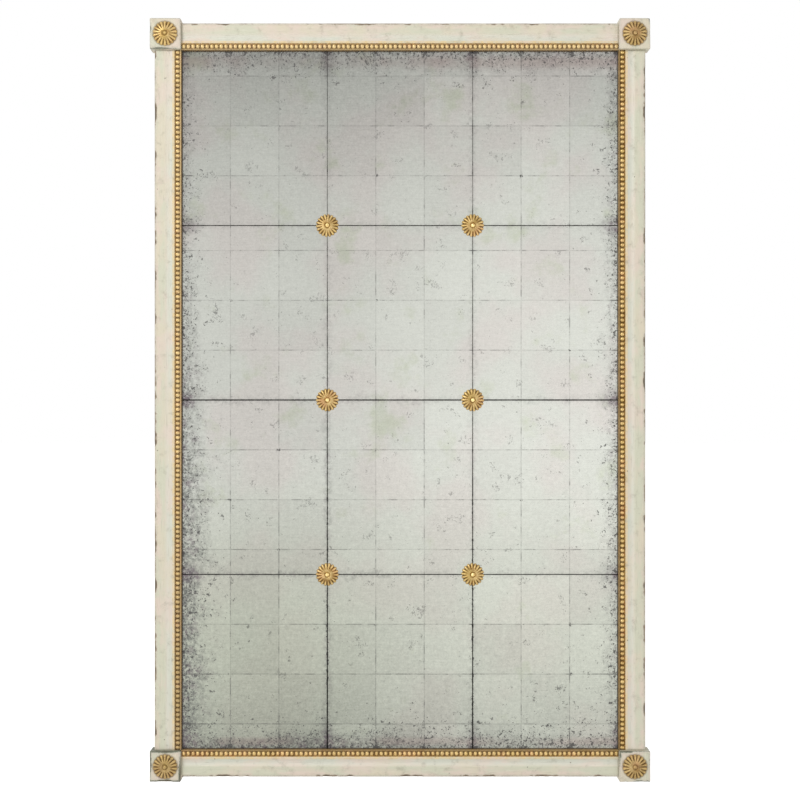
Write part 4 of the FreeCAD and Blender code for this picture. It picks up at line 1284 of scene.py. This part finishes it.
brass_tree, brass_keys = screw_tree("domed_screws", rubbed_brass())
shank_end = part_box("rosette_screws")[1].y
seat_y = glass_front - seat_floor
crossings = []
for level in (pane_height, 0, -pane_height):
    for side in (-1, 1):
        crossings.append((side * pane_width / 2, seat_y, mirror_middle + level))
dome = [(0, head_radius)] + arc((0, 0), head_radius, 80, 0, 8)
dome += [(shank_radius, 0), (shank_radius, seat_y - shank_end), (0, seat_y - shank_end)]
dome_pattern = turned("dome_pattern", dome, 28)
rosette_screws = set_out("brass_rosette_screws", crossings)
grown(rosette_screws, brass_tree, brass_keys, {"Screw": dome_pattern, "Size": 1.0, "Seed": 3})
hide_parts("rosette_screws")
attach(rosette_screws, "mirror")
bpy.data.objects.remove(dome_pattern)

# Corner braces and panel clips. Zinc-plated flat steel, pressed out and bent: the braces lie across the
# joints at the back of each corner, and the clips step down from the members onto the panel.
zinc_pale = srgb(196, 199, 202)
zinc_dark = srgb(150, 154, 158)
zinc_white_rust = srgb(206, 206, 198)


def zinc_plate():
    material, tree, inputs, place = finish("zinc_plate", metallic=0.9)
    spangle = put(tree, "ShaderNodeTexVoronoi", {"Vector": place, "Scale": 240})["Color"]
    facet = put(tree, "ShaderNodeSeparateColor", {"Color": spangle})[0]
    rolled = cloud(tree, stretched(tree, place, (900, 40, 60)), 1.0, 4, 0.6)
    colour = mixed(tree, times(tree, facet, 0.6), zinc_pale, zinc_dark)
    colour = mixed(tree, fade(tree, rolled, 0.5, 0.75, 0, 0.4), colour, zinc_dark)
    bloom = fade(tree, cloud(tree, place, 60, 6, 0.7), 0.6, 0.8, 0, 0.6)
    colour = mixed(tree, bloom, colour, zinc_white_rust)
    tree.links.new(colour, inputs["Base Color"])
    tree.links.new(scaled(tree, facet, 0.15, 0.36), inputs["Roughness"])
    bumped(tree, inputs, rolled, 0.0002, 0.3)
    return material


zinc = zinc_plate()
braces = [f"corner_brace_{rise}_{hand}" for rise in ("top", "bottom") for hand in ("left", "right")]
dress(zinc, *braces, "panel_clips")

# Countersunk screws. Zinc-plated steel wood screws with cross recesses, their heads flush with the
# braces, the clips and the frame hangers.
recess_arm = 0.55
recess_half = 0.15
recess_depth = 0.42
recess_floor = 0.6
head_rim = 0.06
head_sides = 24
point_share = 0.1
rim_slack = 0.00001
head_spacing = 0.012


def cross_screw(name, head_height, shank, length):
    """A screw of head radius 1 that faces the wall from y = 0, with a tapered cross cut in its head."""
    work = bmesh.new()
    cross = []
    for quarter in range(4):
        turn = quarter * math.pi / 2
        for a, b in ((recess_half, recess_half), (recess_arm, recess_half), (recess_arm, -recess_half)):
            x, z = (a * math.cos(turn) - b * math.sin(turn), a * math.sin(turn) + b * math.cos(turn))
            cross.append((x, z))
    ordered = sorted(cross, key=lambda point: math.atan2(point[1], point[0]))

    def ring(points, y):
        corners = [work.verts.new((x, y, z)) for x, z in points]
        sides = [work.edges.new((corners[i - 1], corners[i])) for i in range(len(corners))]
        return corners, sides

    def wall(first, second):
        for i in range(len(first)):
            work.faces.new((first[i - 1], first[i], second[i], second[i - 1]))

    def circle(radius):
        angles = [2 * math.pi * side / head_sides for side in range(head_sides)]
        return [(radius * math.cos(angle), radius * math.sin(angle)) for angle in angles]

    top, top_sides = ring(ordered, 0)
    floor = ring([(x * recess_floor, z * recess_floor) for x, z in ordered], -recess_depth)[0]
    wall(top, floor)
    work.faces.new(floor)
    rim, rim_sides = ring(circle(1 - head_rim), 0)
    bmesh.ops.triangle_fill(work, use_beauty=True, edges=top_sides + rim_sides)
    levels = (
        (1.0, -head_rim),
        (shank, -head_height),
        (shank, -length),
        (shank * point_share, -length - 2 * shank),
    )
    before = rim
    for radius, y in levels:
        after = ring(circle(radius), y)[0]
        wall(before, after)
        before = after
    work.faces.new(before)
    bmesh.ops.recalc_face_normals(work, faces=work.faces)
    mesh = bpy.data.meshes.new(name)
    work.to_mesh(mesh)
    work.free()
    return linked(name, mesh)


def heads_of(node):
    """The middle of each screw head in a packed group, found from the head's outermost face."""
    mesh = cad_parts[node].data
    back = max(vertex.co.y for vertex in mesh.vertices)
    rims = [vertex.co for vertex in mesh.vertices if vertex.co.y > back - rim_slack]
    clusters = []
    for place in rims:
        for cluster in clusters:
            if (cluster[0] - place).length < head_spacing:
                cluster.append(place)
                break
        else:
            clusters.append([place.copy()])
    middles = []
    for cluster in clusters:
        low = [min(place[axis] for place in cluster) for axis in range(3)]
        high = [max(place[axis] for place in cluster) for axis in range(3)]
        middles.append((Vector(low) + Vector(high)) / 2)
    width = max(place.x for place in clusters[0]) - min(place.x for place in clusters[0])
    return middles, width / 2


zinc_tree, zinc_keys = screw_tree("countersunk_screws", zinc)

# the height of the head, the radius of the shank and the length, as shares of the head's radius
screw_shares = {
    "corner_brace_screws": (0.47, 0.53, 4.2),
    "panel_clip_screws": (0.47, 0.5, 4.6),
    "frame_hanger_screws": (0.58, 0.53, 3.1),
}
for seed, (node, shares) in enumerate(screw_shares.items()):
    middles, radius = heads_of(node)
    pattern = cross_screw("screw_pattern", *shares)
    screws = set_out(f"zinc_{node}", middles)
    grown(screws, zinc_tree, zinc_keys, {"Screw": pattern, "Size": radius, "Seed": seed})
    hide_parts(node)
    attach(screws, "mirror")
    bpy.data.objects.remove(pattern)

# Hangers. Short lengths of extruded aluminium with a hooked lip, mill finish, with the die's fine lines
# along them: the frame hangers drop over the wall hangers.
aluminium_pale = srgb(214, 216, 218)
aluminium_dark = srgb(168, 171, 174)


def extruded_aluminium():
    material, tree, inputs, place = finish("extruded_aluminium", metallic=0.95)
    lines = cloud(tree, stretched(tree, place, (8, 1600, 1600)), 1.0, 4, 0.6)
    dull = cloud(tree, place, 45, 6, 0.65)
    colour = mixed(tree, fade(tree, lines, 0.35, 0.7), aluminium_pale, aluminium_dark)
    colour = mixed(tree, fade(tree, dull, 0.5, 0.75, 0, 0.5), colour, aluminium_dark)
    tree.links.new(colour, inputs["Base Color"])
    tree.links.new(scaled(tree, dull, 0.25, 0.22), inputs["Roughness"])
    bumped(tree, inputs, lines, 0.0002, 0.3)
    return material


hangers = [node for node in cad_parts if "_hanger_" in node and not node.endswith("screws")]
dress(extruded_aluminium(), *hangers)

# Bumpers. Discs of dense grey felt, punched out and stuck behind the corner blocks. They keep the frame
# parallel to the wall.
felt_dark = srgb(96, 94, 90)
felt_pale = srgb(140, 138, 132)
felt_edge = 0.0009
bumper_low, bumper_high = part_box("wall_bumpers")


def felt():
    material, tree, inputs, place = finish("grey_felt", roughness=0.95)
    fibres = cloud(tree, place, 900, 6, 0.75)
    lumps = cloud(tree, place, 140, 4, 0.6)
    colour = mixed(tree, fade(tree, fibres, 0.35, 0.65), felt_dark, felt_pale)
    colour = mixed(tree, fade(tree, lumps, 0.45, 0.7, 0, 0.4), colour, felt_dark)
    tree.links.new(colour, inputs["Base Color"])
    inputs["Sheen Weight"].default_value = 0.4
    bumped(tree, inputs, fibres, 0.0006, 0.8)
    return material


bumper_radius = 0.009
bumper_depth = bumper_high.y - bumper_low.y
disc = [(0, -bumper_depth)] + [(bumper_radius * share, -bumper_depth) for share in (0.3, 0.6)]
disc += arc((bumper_radius - felt_edge, felt_edge - bumper_depth), felt_edge, 270, 360, 4)
disc += [(bumper_radius, 0), (0, 0)]
bumper_pattern = turned("bumper_pattern", disc, 32)
inset_x = bumper_high.x - bumper_radius
inset_low, inset_high = bumper_low.z + bumper_radius, bumper_high.z - bumper_radius
pads = [(side * inset_x, bumper_low.y, level) for side in (-1, 1) for level in (inset_low, inset_high)]
felt_tree, felt_keys = screw_tree("felt_pads", felt())
bumpers = set_out("felt_wall_bumpers", pads)
grown(bumpers, felt_tree, felt_keys, {"Screw": bumper_pattern, "Size": 1.0, "Seed": 9})
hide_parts("wall_bumpers")
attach(bumpers, "mirror")
bpy.data.objects.remove(bumper_pattern)

# The studio. A white room: a pale floor a little below the mirror, even light from all round, one broad
# lamp in front, above on the left, and a weaker one on the right.
floor_drop = 0.12
floor_reach = 30.0
room_light = 0.77
floor_glow = 0.55
scene = bpy.context.scene
scene.view_settings.view_transform = "Standard"


def seen(tree):
    """1 for what is seen straight, reflected or through glass, and 0 for light that falls on things."""
    path = put(tree, "ShaderNodeLightPath", {})
    return most(tree, path["Is Camera Ray"], path["Is Glossy Ray"], path["Is Transmission Ray"])


room = bpy.data.worlds.new("white_room")
room.use_nodes = True
scene.world = room
backdrop = room.node_tree.nodes["Background"]
backdrop.inputs["Color"].default_value = (1, 1, 1, 1)
shown = scaled(room.node_tree, seen(room.node_tree), 1 - room_light, room_light)
room.node_tree.links.new(shown, backdrop.inputs["Strength"])

floor_mesh = bpy.data.meshes.new("floor")
floor_z = cad_low.z - floor_drop
floor_turns = ((-1, -1), (1, -1), (1, 1), (-1, 1))
floor_corners = [(x * floor_reach, y * floor_reach, floor_z) for x, y in floor_turns]
floor_mesh.from_pydata(floor_corners, [], [(0, 1, 2, 3)])
floor = bpy.data.objects.new("floor", floor_mesh)
scene.collection.objects.link(floor)
floor_paint, tree, inputs = finish("pale_floor", roughness=0.9)[:3]
inputs["Base Color"].default_value = (0.8, 0.8, 0.8, 1)
inputs["Specular IOR Level"].default_value = 0.0
inputs["Emission Color"].default_value = (1, 1, 1, 1)
tree.links.new(times(tree, seen(tree), floor_glow), inputs["Emission Strength"])
floor_mesh.materials.append(floor_paint)


def lamp(name, place, aim, size, power):
    light = bpy.data.lights.new(name, "AREA")
    light.shape = "DISK"
    light.size = size
    light.energy = power
    stand = bpy.data.objects.new(name, light)
    stand.location = place
    stand.rotation_mode = "QUATERNION"
    stand.rotation_quaternion = (Vector(aim) - Vector(place)).to_track_quat("-Z", "Y")
    scene.collection.objects.link(stand)


mirror_centre = (0, 0, mirror_middle)
lamp("lamp_above", (-1.9, -2.6, 1.1), mirror_centre, 1.6, 42)
lamp("lamp_right", (2.6, -2.4, -0.2), mirror_centre, 1.6, 9)

# The camera. It stands square in front of the middle of the mirror, and its lens fills the picture with
# it as the photo does.
camera_distance = 3.3
camera_lens = 78.4
camera = bpy.data.cameras.new("camera")
camera.lens = camera_lens
camera.sensor_width = 36.0
tripod = bpy.data.objects.new("camera", camera)
tripod.location = (0, -camera_distance, mirror_middle)
tripod.rotation_euler = (math.pi / 2, 0, 0)
scene.collection.objects.link(tripod)
scene.camera = tripod
